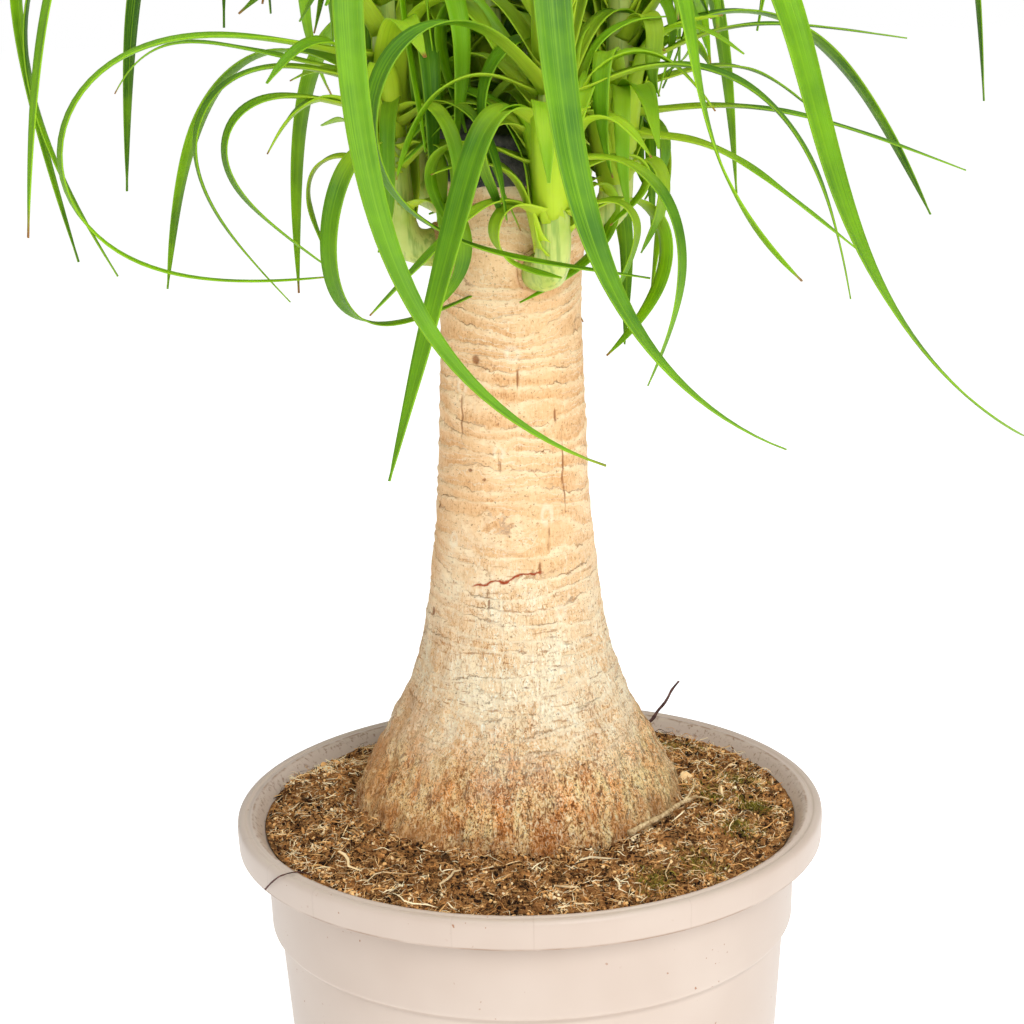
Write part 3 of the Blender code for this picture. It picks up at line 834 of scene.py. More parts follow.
    # Painted shade: the left flank, away from the key light, is darkened and warmed, partly the bark's own
    # warmer tone there.
    left_flank_shade = r.times(r.ramp(axes["X"], -0.050, -0.014, 1.0, 0.0), r.ramp(patches, 0.42, 0.56, 0.25, 1.0))
    colour = r.mix(r.times(left_flank_shade, 0.55), colour, linear(222, 158, 92))
    green_side = r.times(r.ramp(axes["X"], 0.022, 0.055), r.ramp(shifted, 0.0, 0.06, 1.0, 0.0))
    colour = r.mix(r.times(green_side, 0.32), colour, linear(216, 204, 146))
    dirty = r.ramp(r.math("ADD", high, r.times(r.math("SUBTRACT", streak, 0.5), 0.05)), 0.0, 0.018, 1.0, 0.0)
    colour = r.mix(r.times(dirty, 0.5), colour, linear(130, 80, 38))
    marks = r.channel("marks")
    colour = r.layers(
        colour,
        (r.ramp(marks, 0.25, 0.75, 0.0, 0.8), (255, 246, 222)),
        (r.ramp(marks, -0.75, -0.2, 0.8, 0.0), (142, 86, 44)))
    split_height = r.math("ADD", r.math("ADD", high, r.times(axes["X"], -0.16)),
                          r.times(r.math("SUBTRACT", r.noise(110.0, 3.0), 0.5), 0.01))
    off_split = r.math("ABSOLUTE", r.math("SUBTRACT", split_height, SPLIT_HEIGHT))
    split = r.ramp(off_split, 0.2 * MM, 0.8 * MM, 1.0, 0.0)
    split = r.times(split,
                    r.times(r.ramp(axes["X"], -0.021, -0.019), r.ramp(axes["X"], 0.006, 0.008, 1.0, 0.0)))
    split = r.times(split, r.ramp(axes["Y"], -0.002, 0.0, 1.0, 0.0))
    colour = r.mix(split, colour, linear(166, 72, 40))
    speck = r.ramp(r.noise(900.0, 1.0, 0.5), 0.70, 0.74)
    colour = r.layers(
        colour,
        (r.times(speck, 0.55), (110, 66, 34)),
        (r.ramp(r.channel("swollen"), 0.35, 0.9, 0.0, 0.4), (222, 162, 104)))

    relief = r.bump(r.math("SUBTRACT", grain, r.times(crack, 1.2)), 0.55, 0.0007)
    relief = r.bump(upright, r.ramp(shifted, 0.03, 0.13, 0.8, 0.15), 0.0010, relief)
    relief = r.bump(threads, r.ramp(shifted, 0.07, 0.14, 0.9, 0.15), 0.0008, relief)
    relief = r.bump(r.math("ADD", edge, contour), 0.4, 0.0006, relief)
    return r.finish(colour, r.ramp(grain, 0.3, 0.7, 0.72, 0.9), relief, Specular_IOR_Level=0.2)


coat(trunk, bark())
print("bark done")

# %% [markdown]
# ## The wound wax
#
# When the stem is topped, the cut is brushed with black wax so that it does not dry or rot.
# It was soft when it went on: it lies a millimetre thick over the cut and runs down the
# bark in uneven tongues. It is thrown as a thin cap with an inner and an outer skin, and
# its lower edge is then moved up and down by different amounts round the stem.

# %% Wax cap
WAX_THICKNESS = 1.2 * MM
WAX_REACH = 22.5 * MM
WAX_SEGMENTS = 48

inside = TOP_RADIUS + GAP
outside = inside + WAX_THICKNESS
wax_top = RIM_HEIGHT + TRUNK_HEIGHT + GAP + WAX_THICKNESS
wax_rings = [(reach, wax_top - WAX_THICKNESS) for reach in (1 * MM, 14 * MM, inside)]
wax_rings += [(inside, wax_top - WAX_THICKNESS - drop * MM) for drop in (4, 8, 12, 16, 21)]
wax_rings += [(outside + 0.4 * MM, wax_top - WAX_REACH)]
wax_rings += [(outside, wax_top - drop * MM) for drop in (17, 13, 9, 5, 1.2)]
wax_rings += [(outside - 1 * MM, wax_top), (20 * MM, wax_top), (10 * MM, wax_top), (1 * MM, wax_top)]
axis_x = trunk_axis_x(TRUNK_HEIGHT)
wax = turned("wax_cap", wax_rings, WAX_SEGMENTS, axis_x)
subdivide(wax, 2)
points = get_points(wax)
below = np.clip((wax_top - points[:, 2] - 2 * MM) / (14 * MM), 0.0, 1.0)
turn_points = points * np.array([1.0, 1.0, 0.0])
points[:, 2] += below * (3.5 * MM * rough(turn_points, 16 * MM, 21, 3) + 1.0 * MM)
from_axis = np.hypot(points[:, 0] - axis_x, points[:, 1])
skin_lumps = 0.35 * MM * rough(points, 5 * MM, 22, 3) + 0.35 * MM * rough(points, 14 * MM, 23, 2)
outer_share = np.clip((from_axis - inside) / (0.6 * WAX_THICKNESS), 0.0, 1.0) * below
points[:, 0] += (points[:, 0] - axis_x) / np.maximum(from_axis, MM) * skin_lumps * outer_share
points[:, 1] += points[:, 1] / np.maximum(from_axis, MM) * skin_lumps * outer_share
points[:, 2] += np.clip(skin_lumps, -0.6 * MM, 0.3 * MM) * (points[:, 2] > wax_top - 0.5 * MM)
set_points(wax, points)
shade_smooth(wax)
finished(wax, "dark_wax", "wound_wax")


def wax_finish():
    """Matt black wax, dusty where it is rubbed."""
    r = Recipe("wound_wax_finish")
    clouds = r.noise(120.0, 5.0, 0.7)
    grain = r.noise(700.0, 4.0, 0.7)
    colour = r.mix(r.ramp(clouds, 0.42, 0.62), linear(38, 36, 38), linear(96, 90, 88))
    colour = r.mix(r.ramp(grain, 0.60, 0.72, 0.0, 0.7), colour, linear(150, 138, 126))
    relief = r.bump(r.math("ADD", grain, clouds), 0.6, 0.0008)
    return r.finish(colour, r.ramp(clouds, 0.4, 0.6, 0.5, 0.8), relief)


coat(wax, wax_finish())
print("wax faces:", len(wax.data.polygons))

# %% [markdown]
# ## The soil
#
# Peat and coir, watered and dried many times: a lumpy mound that falls away to the wall. The
# solid body is thrown like the pot. Only its top is fine, and it is pushed up and down by
# three sizes of relief, so that crumbs and hollows stand in it. Loose matter comes next.

# %% Soil body
SOIL_SEGMENTS = 384
SOIL_TOP_RINGS = 74
SOIL_EDGE = 108.6 * MM
# Distance from the pot's middle and height over the rim, in millimetres.
SOIL_MOUND = [(0, 3), (72, 3), (88, 0), (100, -3), (108.6, -4.6)]
mound = np.array(SOIL_MOUND) * MM


def soil_level(distance):
    """Mean height of the soil over the rim, at a distance from the middle."""
    return np.interp(distance, mound[:, 0], mound[:, 1])


CLUMP = (-80 * MM, 24 * MM)      # middle of a raised clump of coir
CLUMP_HEIGHT = 9.5 * MM
CLUMP_REACH = 14 * MM


def soil_relief(places):
    """Lumps of the soil above or below its mean level, at (x, y, 0) points."""
    lumps = 2.2 * MM * rough(places, 20 * MM, 41, 2)
    crumbs = 2.6 * MM * np.abs(rough(places, 8 * MM, 42, 2))
    grit = 0.9 * MM * rough(places, 2.6 * MM, 43, 2)
    from_clump = np.hypot(places[:, 0] - CLUMP[0], (places[:, 1] - CLUMP[1]) * 1.2)
    clump = CLUMP_HEIGHT * bell(from_clump, CLUMP_REACH)
    from_trunk = np.hypot(places[:, 0] - TRUNK_BASE_X, places[:, 1]) - 64 * MM
    heaped = 1.2 * MM * bell(from_trunk, 9 * MM)
    return lumps + crumbs + grit + clump + heaped - 1.4 * MM


soil_rings = [(0.5 * MM, FLOOR_TOP + GAP), (FOOT_RADIUS - WALL - 2 * GAP, FLOOR_TOP + GAP)]
soil_rings += [(STEP_RADIUS - WALL - 3 * GAP, RIM_HEIGHT - STEP_DEPTH - 1 * MM)]
wall_inside = COLLAR_RADIUS - WALL
soil_rings += [(wall_inside - 1.6 * MM, RIM_HEIGHT - COLLAR_DEPTH + 1 * MM),
               (wall_inside - 0.9 * MM, RIM_HEIGHT - 9 * MM)]
for ring in range(SOIL_TOP_RINGS):
    ring_radius = SOIL_EDGE + (38 * MM - SOIL_EDGE) * ring / (SOIL_TOP_RINGS - 1)
    soil_rings.append((ring_radius, RIM_HEIGHT + float(soil_level(ring_radius))))
soil_rings.append((1 * MM, RIM_HEIGHT + 3 * MM))
soil = turned("soil_bed", soil_rings, SOIL_SEGMENTS)
points = get_points(soil)
flat_points = points * np.array([1.0, 1.0, 0.0])
surface = points[:, 2] > RIM_HEIGHT - 7 * MM
edge_fade = np.clip((SOIL_EDGE + 1 * MM - np.hypot(points[:, 0], points[:, 1])) / (4 * MM), 0.3, 1.0)
points[:, 2] += np.where(surface, soil_relief(flat_points) * edge_fade, 0.0)
set_points(soil, points)
shade_smooth(soil)
finished(soil, "potting_soil", "soil")


def soil_finish():
    """Brown peat, darkened between the fibres partly by its own dark peat and partly by painted shade, with
    tan fibres and pale grains.
    """
    r = Recipe("peat_finish")
    clouds = r.noise(60.0, 4.0, 0.65)
    grain = r.noise(720.0, 5.0, 0.8)
    fibre = r.noise(520.0, 4.0, 0.75, r.stretched((0.3, 1.0, 1.0)), 2.0)
    colour = r.mix(r.ramp(clouds, 0.36, 0.64), linear(120, 76, 38), linear(206, 144, 84))
    # Painted shade: near-black spots between the fibres, partly the dark peat itself.
    gap_shade = r.noise(230.0, 3.0, 0.6)
    colour = r.layers(
        colour,
        (r.ramp(gap_shade, 0.52, 0.6, 0.0, 0.85), (34, 20, 9)),
        (r.ramp(fibre, 0.53, 0.6, 0.0, 0.8), (232, 176, 112)),
        (r.ramp(grain, 0.53, 0.6, 0.0, 0.9), (30, 18, 8)),
        (r.ramp(grain, 0.34, 0.42, 0.8, 0.0), (228, 180, 122)))
    relief = r.bump(r.math("ADD", grain, fibre), 0.9, 0.0016)
    return r.finish(colour, 0.95, relief, Specular_IOR_Level=0.15)


coat(soil, soil_finish())
print("soil faces:", len(soil.data.polygons))

# %% [markdown]
# ## Loose matter on the soil
#
# The eye reads potting soil by its thousands of coir fibres, crumbs and bits of straw. A few
# fibres and crumbs are modelled one by one, as bent three-sided rods and dented lumps of only a
# few faces. Copying them with operators would take minutes, so the copies are placed in one
# step by turning, sizing and moving their points, with a fixed seed. Each copy carries a tone
# from dark to pale, which the material turns into chocolate, brown, tan or straw.

# %% Fibres and crumbs
def shape_of(piece):
    """Take a small piece's points and faces, and remove the piece."""
    shape = (get_points(piece), [list(face.vertices) for face in piece.data.polygons])
    bpy.data.objects.remove(piece, do_unlink=True)
    return shape


def fibre(bend, wave, slimness, joints=5):
    """A three-sided rod of unit length along X, bent sideways and up. Slimness is its thickness."""
    select_nothing()
    bpy.ops.mesh.primitive_circle_add(vertices=3, radius=1.0, fill_type="NGON",
                                      rotation=(0.0, math.pi / 2, 0.0))
    stem = settle(named("fibre"))
    bpy.ops.object.mode_set(mode="EDIT")
    for _ in range(joints):
        bpy.ops.mesh.select_all(action="DESELECT")
        bpy.ops.object.mode_set(mode="OBJECT")
        reach = max(vertex.co.x for vertex in stem.data.vertices)
        for vertex in stem.data.vertices:
            vertex.select = vertex.co.x > reach - 0.01
        bpy.ops.object.mode_set(mode="EDIT")
        bpy.ops.mesh.select_mode(type="VERT")
        bpy.ops.mesh.extrude_region_move(TRANSFORM_OT_translate={"value": (1.0 / joints, 0.0, 0.0)})
    face_outwards()
    shape_points = get_points(stem)
    along = shape_points[:, 0]
    end_taper = 1.0 - 0.75 * np.abs(2 * along - 1) ** 3
    bow = bend * np.sin(along * math.pi) + wave * np.sin(along * 3 * math.pi)
    rise = 0.25 * bend * np.sin(along * math.pi)
    shape_points[:, 1] = shape_points[:, 1] * slimness * end_taper + bow
    shape_points[:, 2] = shape_points[:, 2] * slimness * end_taper + rise
    shape_points[:, 0] -= 0.5
    set_points(stem, shape_points)
    return shape_of(stem)


def crumb(seed, squash):
    """A dented lump, about one unit across."""
    select_nothing()
    bpy.ops.mesh.primitive_ico_sphere_add(subdivisions=1, radius=0.5)
    lump = named("crumb")
    lump_points = get_points(lump)
    lump_points *= (1.0 + 0.6 * rough(lump_points, 0.4, seed, 2))[:, None]
    lump_points[:, 2] *= squash
    set_points(lump, lump_points)
    return shape_of(lump)


def scatter(name, shapes, copies):
    """One mesh of placed copies: each is (shape number, place, turn, size, tone)."""
    all_points = []
    all_faces = []
    tones = []
    start = 0
    for which, place, turn, size, tone in copies:
        shape_points, shape_faces = shapes[which]
        matrix = np.array(turn.to_matrix())
        all_points.append(shape_points @ matrix.T * size + np.array(place))
        all_faces.extend([[start + corner for corner in face] for face in shape_faces])
        tones.extend([tone] * len(shape_points))
        start += len(shape_points)
    mesh = bpy.data.meshes.new(name)
    mesh.from_pydata(np.concatenate(all_points), [], all_faces)
    piece = bpy.data.objects.new(name, mesh)
    bpy.context.collection.objects.link(piece)
    paint_channel(piece, "tone", tones)
    return piece


FIBRES = [fibre(0.10, 0.03, 0.016), fibre(0.22, -0.05, 0.020), fibre(-0.15, 0.06, 0.026),
          fibre(0.32, 0.0, 0.015), fibre(-0.05, 0.02, 0.040), fibre(0.18, 0.08, 0.030)]
CRUMBS = [crumb(51, 0.55), crumb(52, 0.4), crumb(53, 0.7), crumb(54, 0.3)]
print("fibre faces:", len(FIBRES[0][1]), "crumb faces:", len(CRUMBS[0][1]))

# %% [markdown]
# ## Strewing the surface
#
# Matter lies where the soil shows: from the foot of the trunk out to the wall. Slow relief
# makes patches of it lighter or darker, and moss has taken hold on the right. Places are
# drawn at random in the ring between trunk and wall, evenly by area.

# %% Strewn fibres, crumbs and moss
strew = random.Random(7)


def soil_height(x, y):
    """Height of the soil's surface, relief included."""
    distance = math.hypot(x, y)
    fade = min(1.0, max(0.3, (SOIL_EDGE + 1 * MM - distance) / (4 * MM)))
    return RIM_HEIGHT + float(soil_level(distance)) + float(soil_relief(np.array([[x, y, 0.0]]))[0]) * fade


OPEN_INNER = 60 * MM
OPEN_OUTER = SOIL_EDGE - 1.5 * MM
FOOT_REACH = 65 * MM


def open_place():
    """A random place on the open soil, clear of the trunk's foot."""
    while True:
        distance = math.sqrt(strew.uniform(OPEN_INNER ** 2, OPEN_OUTER ** 2))
        angle = strew.uniform(0.0, math.tau)
        x, y = distance * math.cos(angle), distance * math.sin(angle)
        if math.hypot(x - TRUNK_BASE_X, y * (1.10 if y < 0 else 1.0)) > FOOT_REACH:
            return x, y


def flat_turn(tilt):
    """A random turn that lies nearly flat."""
    from_flat = strew.gauss(0.0, tilt)
    return Matrix.Rotation(strew.uniform(0, math.tau), 3, "Z") @ Matrix.Rotation(from_flat, 3, "Y") \
        @ Matrix.Rotation(strew.uniform(0, math.tau), 3, "X")


TONE_PATCH = 0.5                 # how much neighbouring pieces share a lighter or darker tone


def strewn(count, kinds, sizes, tilt, tones, lift):
    """Copies on the soil: random kind, size and tone inside the given ranges."""
    copies = []
    for _ in range(count):
        x, y = open_place()
        size = strew.uniform(*sizes)
        z = soil_height(x, y) + strew.uniform(0.0, lift)
        turn = flat_turn(tilt).to_quaternion()
        warmer = 0.22 * math.exp(-(math.hypot(x - CLUMP[0], y - CLUMP[1]) / (16 * MM)) ** 2)
        shared = TONE_PATCH * float(rough(np.array([[x, y, 0.0]]), 4 * MM, 44, 2)[0])
        tone = min(1.0, max(0.0, strew.gauss(*tones) + warmer + shared))
        copies.append((strew.randrange(kinds), (x, y, z), turn, size, tone))
    return copies


SHORT_FIBRES = 6200
LONG_FIBRES = 3000
LOOSE_CRUMBS = 8000
fibre_copies = strewn(SHORT_FIBRES, len(FIBRES), (1.5 * MM, 4.5 * MM), 0.6, (0.52, 0.36), 2.0 * MM)
long_copies = strewn(LONG_FIBRES, len(FIBRES), (3 * MM, 8 * MM), 0.3, (0.58, 0.36), 2.2 * MM)
crumb_copies = strewn(LOOSE_CRUMBS, len(CRUMBS), (0.5 * MM, 1.7 * MM), 0.9, (0.30, 0.22), 1.0 * MM)
fibres = scatter("coir_fibres", FIBRES, fibre_copies)
long_fibres = scatter("long_coir_fibres", FIBRES, long_copies)
crumbs = scatter("soil_crumbs", CRUMBS, crumb_copies)
# Place on the soil and spread, in millimetres.
MOSS_CUSHIONS = [(74, -3, 13), (66, -65, 12), (88, 22, 10), (84, -34, 9), (60, 60, 12), (92, -8, 8),
                 (48, -80, 9)]
MOSS_STEMS = 2600
moss_copies = []
for _ in range(MOSS_STEMS):
    x_mm, y_mm, spread = strew.choice(MOSS_CUSHIONS)
    x = (x_mm + strew.gauss(0, spread * 0.5)) * MM
    y = (y_mm + strew.gauss(0, spread * 0.5)) * MM
    if 62 * MM < math.hypot(x, y) < SOIL_EDGE - 2 * MM:
        lean_turn = Matrix.Rotation(strew.uniform(0, math.tau), 3, "Z") @ Matrix.Rotation(
            -strew.uniform(0.2, 1.4), 3, "Y")
        size = strew.uniform(1.4, 3.4) * MM
        moss_copies.append((strew.randrange(4, len(FIBRES)), (x, y, soil_height(x, y) + 0.35 * size),
                            lean_turn.to_quaternion(), size, strew.uniform(0.0, 1.0)))
moss = scatter("moss", FIBRES, moss_copies)
for piece in (fibres, long_fibres, crumbs, moss):
    print(piece.name, "faces:", len(piece.data.polygons))


def loose_finish(name, tones):
    """Dry matter coloured by its stored tone, mottled by fine noise."""
    r = Recipe(name)
    node = r.tree.nodes.new("ShaderNodeValToRGB")
    ramp = node.color_ramp
    while len(ramp.elements) < len(tones):
        ramp.elements.new(0.5)
    for element, (position, colour) in zip(ramp.elements, tones):
        element.position = position
        element.color = linear(*colour)
    mottle = r.times(r.math("SUBTRACT", r.noise(500.0, 3.0, 0.7), 0.5), 0.35)
    r.tree.links.new(r.math("ADD", r.channel("tone"), mottle), node.inputs["Fac"])
    relief = r.bump(r.noise(900.0, 3.0, 0.7), 0.4, 0.0004)
    return r.finish(node.outputs["Color"], 0.9, relief, Specular_IOR_Level=0.2)


LOOSE_TONES = [(0.0, (26, 14, 6)), (0.2, (96, 58, 27)), (0.45, (206, 144, 80)), (0.7, (250, 204, 136)),
               (1.0, (255, 240, 200))]
loose = loose_finish("loose_matter_finish", LOOSE_TONES)
moss_green = loose_finish("moss_finish", [(0.0, (66, 58, 22)), (0.5, (120, 110, 40)), (1.0, (178, 168, 62))])
for piece, material in ((fibres, loose), (long_fibres, loose), (crumbs, loose), (moss, moss_green)):
    coat(piece, material)
    finished(piece, "potting_soil")

# %% [markdown]
# ## Twigs and odd pieces
#
# A pale dry twig lies at the front right, forked at its end, a thin dark stalk stands up
# behind, and a stray root hangs over the rim at the left. They are round rods whose rings are
# laid along a given line. Chips of bark and a few long straws break up the even soil.

# %% Rods along a line
def smooth_line(stops, count):
    """Evenly spaced points on a smooth curve through the stops."""
    stops = [Vector(stop) for stop in stops]
    stops = [2 * stops[0] - stops[1], *stops, 2 * stops[-1] - stops[-2]]
    line = []
    for i in range(count):
        place = i / (count - 1) * (len(stops) - 3)
        low = min(int(place), len(stops) - 4)
        share = place - low
        before, here, after, beyond = stops[low:low + 4]
        line.append(0.5 * (2 * here + (after - before) * share
                           + (2 * before - 5 * here + 4 * after - beyond) * share ** 2
                           + (3 * here - before - 3 * after + beyond) * share ** 3))
    return line


def rod(name, line, radii, sides=10, lumps=0.0, seed=1):
    """A closed round rod: a grown cylinder whose rings are laid along a line."""
    count = len(line)
    select_nothing()
    rings = [(1.0, 0.0)] + [(1.0, float(i)) for i in range(1, count)]
    piece = turned(name, rings, sides)
    piece_points = get_points(piece)
    station = np.clip(np.round(piece_points[:, 2]).astype(int), 0, count - 1)
    spin = np.arctan2(piece_points[:, 1], piece_points[:, 0])
    side = Vector((0.0, 0.0, 1.0))
    frames = []
    for i in range(count):
        ahead = (line[min(i + 1, count - 1)] - line[max(i - 1, 0)]).normalized()
        if abs(ahead.dot(side)) > 0.95:
            side = Vector((1.0, 0.0, 0.0))
        first = (side - ahead * side.dot(ahead)).normalized()
        side = first
        frames.append((line[i], first, ahead.cross(first)))
    centre, first, second = picked(frames, station)
    reach = np.array(radii)[station] * (1.0 + lumps * rough(piece_points, 1.3, seed, 2))
    placed = centre + first * (np.cos(spin) * reach)[:, None] + second * (np.sin(spin) * reach)[:, None]
    set_points(piece, placed)
    paint_channel(piece, "along", station / (count - 1))
    alone(piece)
    bpy.ops.object.mode_set(mode="EDIT")
    face_outwards()
    bpy.ops.object.shade_smooth()
    return piece


def join(name, pieces):
    """Join pieces into one object."""
    select_nothing()
    for piece in pieces:
        piece.select_set(True)
    bpy.context.view_layer.objects.active = pieces[0]
    bpy.ops.object.join()
    pieces[0].name = name
    pieces[0].data.name = name
    return pieces[0]


def on_soil(x_mm, y_mm, above_mm):
    """A point over the soil's mean surface."""
    distance = math.hypot(x_mm, y_mm) * MM
    return Vector((x_mm * MM, y_mm * MM, RIM_HEIGHT + float(soil_level(distance)) + above_mm * MM))


def twig_radii(count, thick, thin, knots):
    """Radii that taper along a twig and swell at evenly spaced knots."""
    return [thick + (thin - thick) * i / (count - 1) + knots * max(0.0, math.cos(i * math.tau / 6)) ** 3
            for i in range(count)]


twig_line = smooth_line([on_soil(39, -55, 5.0), on_soil(47, -44, 4.6), on_soil(54, -34, 4.0),
                         on_soil(61, -22, 3.6), on_soil(68, -12, 2.4)], 36)
fork_line = smooth_line([twig_line[28], on_soil(66, -13, 5.6), on_soil(68, -8, 8.0)], 10)
spur_line = smooth_line([twig_line[31], on_soil(69, -15, 3.4), on_soil(73, -17, 3.6)], 8)
twig = join("pale_twig_forked", [
    rod("twig_stem", twig_line, twig_radii(36, 1.15 * MM, 0.75 * MM, 0.25 * MM), 10, 0.12, 61),
    rod("twig_fork", fork_line, twig_radii(10, 0.6 * MM, 0.3 * MM, 0.1 * MM), 8, 0.1, 62),
    rod("twig_spur", spur_line, twig_radii(8, 0.5 * MM, 0.25 * MM, 0.1 * MM), 8, 0.1, 63),
])
finished(twig, "dry_straw", "pale_twig")
stalk_line = smooth_line([on_soil(42, 71, 0.8), on_soil(48, 75, 4.0), on_soil(54, 78, 7), on_soil(57, 81, 11),
                          on_soil(61, 83, 16), on_soil(64, 86, 21), on_soil(67, 86, 25)], 30)
stalk = rod("dark_stalk_wavy", stalk_line, twig_radii(30, 0.9 * MM, 0.45 * MM, 0.12 * MM), 8, 0.15, 64)
finished(stalk, "dry_stalk", "dark_stalk")

root_line = smooth_line([(-0.1047, -0.0615, RIM_HEIGHT - 9.0 * MM), (-0.1012, -0.0672, RIM_HEIGHT - 3.5 * MM),
                         (-0.0972, -0.0706, RIM_HEIGHT + 0.5 * MM), (-0.0912, -0.0676, RIM_HEIGHT + 0.5 * MM),
                         (-0.0860, -0.0640, RIM_HEIGHT - 2.5 * MM)], 24)
root_end = rod("stray_root", root_line, twig_radii(24, 0.35 * MM, 0.2 * MM, 0.08 * MM), 6, 0.2, 65)
finished(root_end, "dry_stalk")

# Place on the soil (mm), length (mm), compass heading and tone of each straw.
STRAWS = [(23, -74, 24, 20, 1.0), (-45, -90, 20, 150, 0.95), (-30, -78, 18, 60, 0.9), (12, -88, 16, -25, 0.9),
          (55, -70, 20, 75, 0.85), (-70, -55, 22, 110, 0.85), (-58, -74, 16, 20, 0.9), (84, 30, 20, 60, 0.8),
          (35, -86, 14, 100, 0.95)]
straw_copies = []
for x_mm, y_mm, length, heading, tone in STRAWS:
    x, y = x_mm * MM, y_mm * MM
    turn = Matrix.Rotation(math.radians(heading), 3, "Z") @ Matrix.Rotation(-0.1, 3, "Y")
    straw_copies.append((strew.choice([0, 1, 5]), (x, y, soil_height(x, y) + 1.6 * MM), turn.to_quaternion(),
                         length * MM, tone))
straws = scatter("loose_straws", FIBRES, straw_copies)
# Place on the soil (mm), size (mm) and tone of each chip of bark.
CHIPS = [(65, 13, 6.5, 0.78), (79, 1, 6.0, 0.85), (-86, 31, 2.6, 0.62), (-80, 26, 3.0, 0.56),
         (-90, 24, 2.4, 0.55), (-62, -66, 2.8, 0.6), (20, -94, 3.0, 0.5), (90, -40, 3.0, 0.6),
         (-30, 84, 3.4, 0.5), (-92, -20, 3.0, 0.5), (40, 88, 3.2, 0.5), (0, 96, 3.0, 0.5)]
chip_copies = []
for x_mm, y_mm, size, tone in CHIPS:
    x, y = x_mm * MM, y_mm * MM
    chip_copies.append((strew.randrange(len(CRUMBS)), (x, y, soil_height(x, y) + 1.2 * MM),
                        flat_turn(0.3).to_quaternion(), size * MM, tone))
chips = scatter("bark_chips", CRUMBS, chip_copies)
for piece in (straws, chips):
    coat(piece, loose)
    finished(piece, "potting_soil")


def stem_finish(name, dark, pale, roughness):
    """Dry stem: dark and pale rings and streaks."""
    r = Recipe(name)
    rings = r.noise(420.0, 4.0, 0.7)
    colour = r.mix(r.ramp(rings, 0.38, 0.62), linear(*dark), linear(*pale))
    relief = r.bump(rings, 0.5, 0.0006)
    return r.finish(colour, roughness, relief, Specular_IOR_Level=0.3)


coat(twig, stem_finish("pale_twig_finish", (150, 116, 74), (232, 208, 162), 0.8))
for piece in (stalk, root_end):
    coat(piece, stem_finish("dark_stalk_finish", (44, 26, 24), (110, 74, 66), 0.7))
print("twig faces:", len(twig.data.polygons), "stalk faces:", len(stalk.data.polygons))

# %% [markdown]
# ## Side shoots
#
# Each shoot is a fleshy green core that leaves the bark level and turns straight up. It is
# wrapped in leaf bases, so little of it shows. Where it breaks out, the bark has healed
# round it in a corky, reddish ring.

# %% Shoot cores and corky rings
def shoot_finish():
    """Yellow-green flesh with darker upright veins."""
    r = Recipe("shoot_flesh_finish")
    veins = r.noise(500.0, 3.0, 0.6, r.stretched((1, 1, 0.08)))
    clouds = r.noise(70.0, 3.0, 0.5)
    colour = r.mix(r.ramp(clouds, 0.35, 0.65), linear(168, 190, 74), linear(202, 212, 120))
    colour = r.mix(r.ramp(veins, 0.50, 0.64, 0.0, 0.6), colour, linear(112, 150, 48))
    relief = r.bump(veins, 0.3, 0.0005)
    return r.finish(colour, 0.45, relief, Subsurface_Weight=0.3, Subsurface_Scale=0.004)


def cork_ring_finish():
    """Reddish brown healed bark."""
    r = Recipe("cork_ring_finish")
    clouds = r.noise(260.0, 4.0, 0.7)
    colour = r.mix(r.ramp(clouds, 0.35, 0.65), linear(186, 138, 88), linear(226, 190, 142))
    colour = r.mix(r.ramp(r.noise(700.0, 3.0, 0.7), 0.54, 0.66, 0.0, 0.7), colour, linear(140, 80, 42))
    relief = r.bump(clouds, 0.8, 0.001)
    return r.finish(colour, 0.85, relief, Specular_IOR_Level=0.2)


shoot_flesh = shoot_finish()
cork = cork_ring_finish()
RING_RADIUS = 7.7 * MM
RING_THICKNESS = 1.5 * MM
for name, (compass_degrees, shoot_height, length) in SHOOTS.items():
    stations = shoot_stations(name)
    line = [station[0] for station in stations]
    count = len(line)
    radii = [shoot_radius(i / (count - 1)) * (1.0 + 0.12 * math.exp(-i / 2)) for i in range(count)]
    radii[-1] = 1.0 * MM
    core = rod(f"shoot_core_{name}", line, radii, 24, 0.05, 71 + count)
    coat(core, shoot_flesh)
    finished(core, "shoot_green", f"shoot_{name}")
    select_nothing()
    outward = direction(math.radians(compass_degrees), 0.0)
    bpy.ops.mesh.primitive_torus_add(major_segments=40, minor_segments=10, major_radius=RING_RADIUS,
                                     minor_radius=RING_THICKNESS, location=line[0] - outward * 0.2 * MM,
                                     rotation=outward.to_track_quat("Z", "Y").to_euler())
    ring = settle(named(f"cork_ring_{name}"))
    ring_points = get_points(ring)
    middle_point = np.array(line[0] - outward * 0.2 * MM)
    lumpy = 1.0 + 0.10 * rough(ring_points, 5 * MM, int(shoot_height), 3)
    set_points(ring, middle_point + (ring_points - middle_point) * lumpy[:, None])
    bpy.ops.object.shade_smooth()
    coat(ring, cork)
    finished(ring, "bark")
print("shoots:", len(SHOOTS))

# %% [markdown]
# ## Strap leaves
#
# A leaf is a long ribbon with a shallow channel. It clasps the shoot at its base, holds its
# width for most of its length and draws out to a thread. It shoots up, turns over and hangs.
# A flat grid is laid along the grown line row by row: a Curve modifier would flip it where
# the leaf hangs straight down. A thin Solidify then gives the ribbon its real thickness, and
# because its points are doubled in order, the underside can be told from the upper side.

# %% One strap leaf
LEAF_THICKNESS = 0.5 * MM
CLASP_LENGTH = 0.05


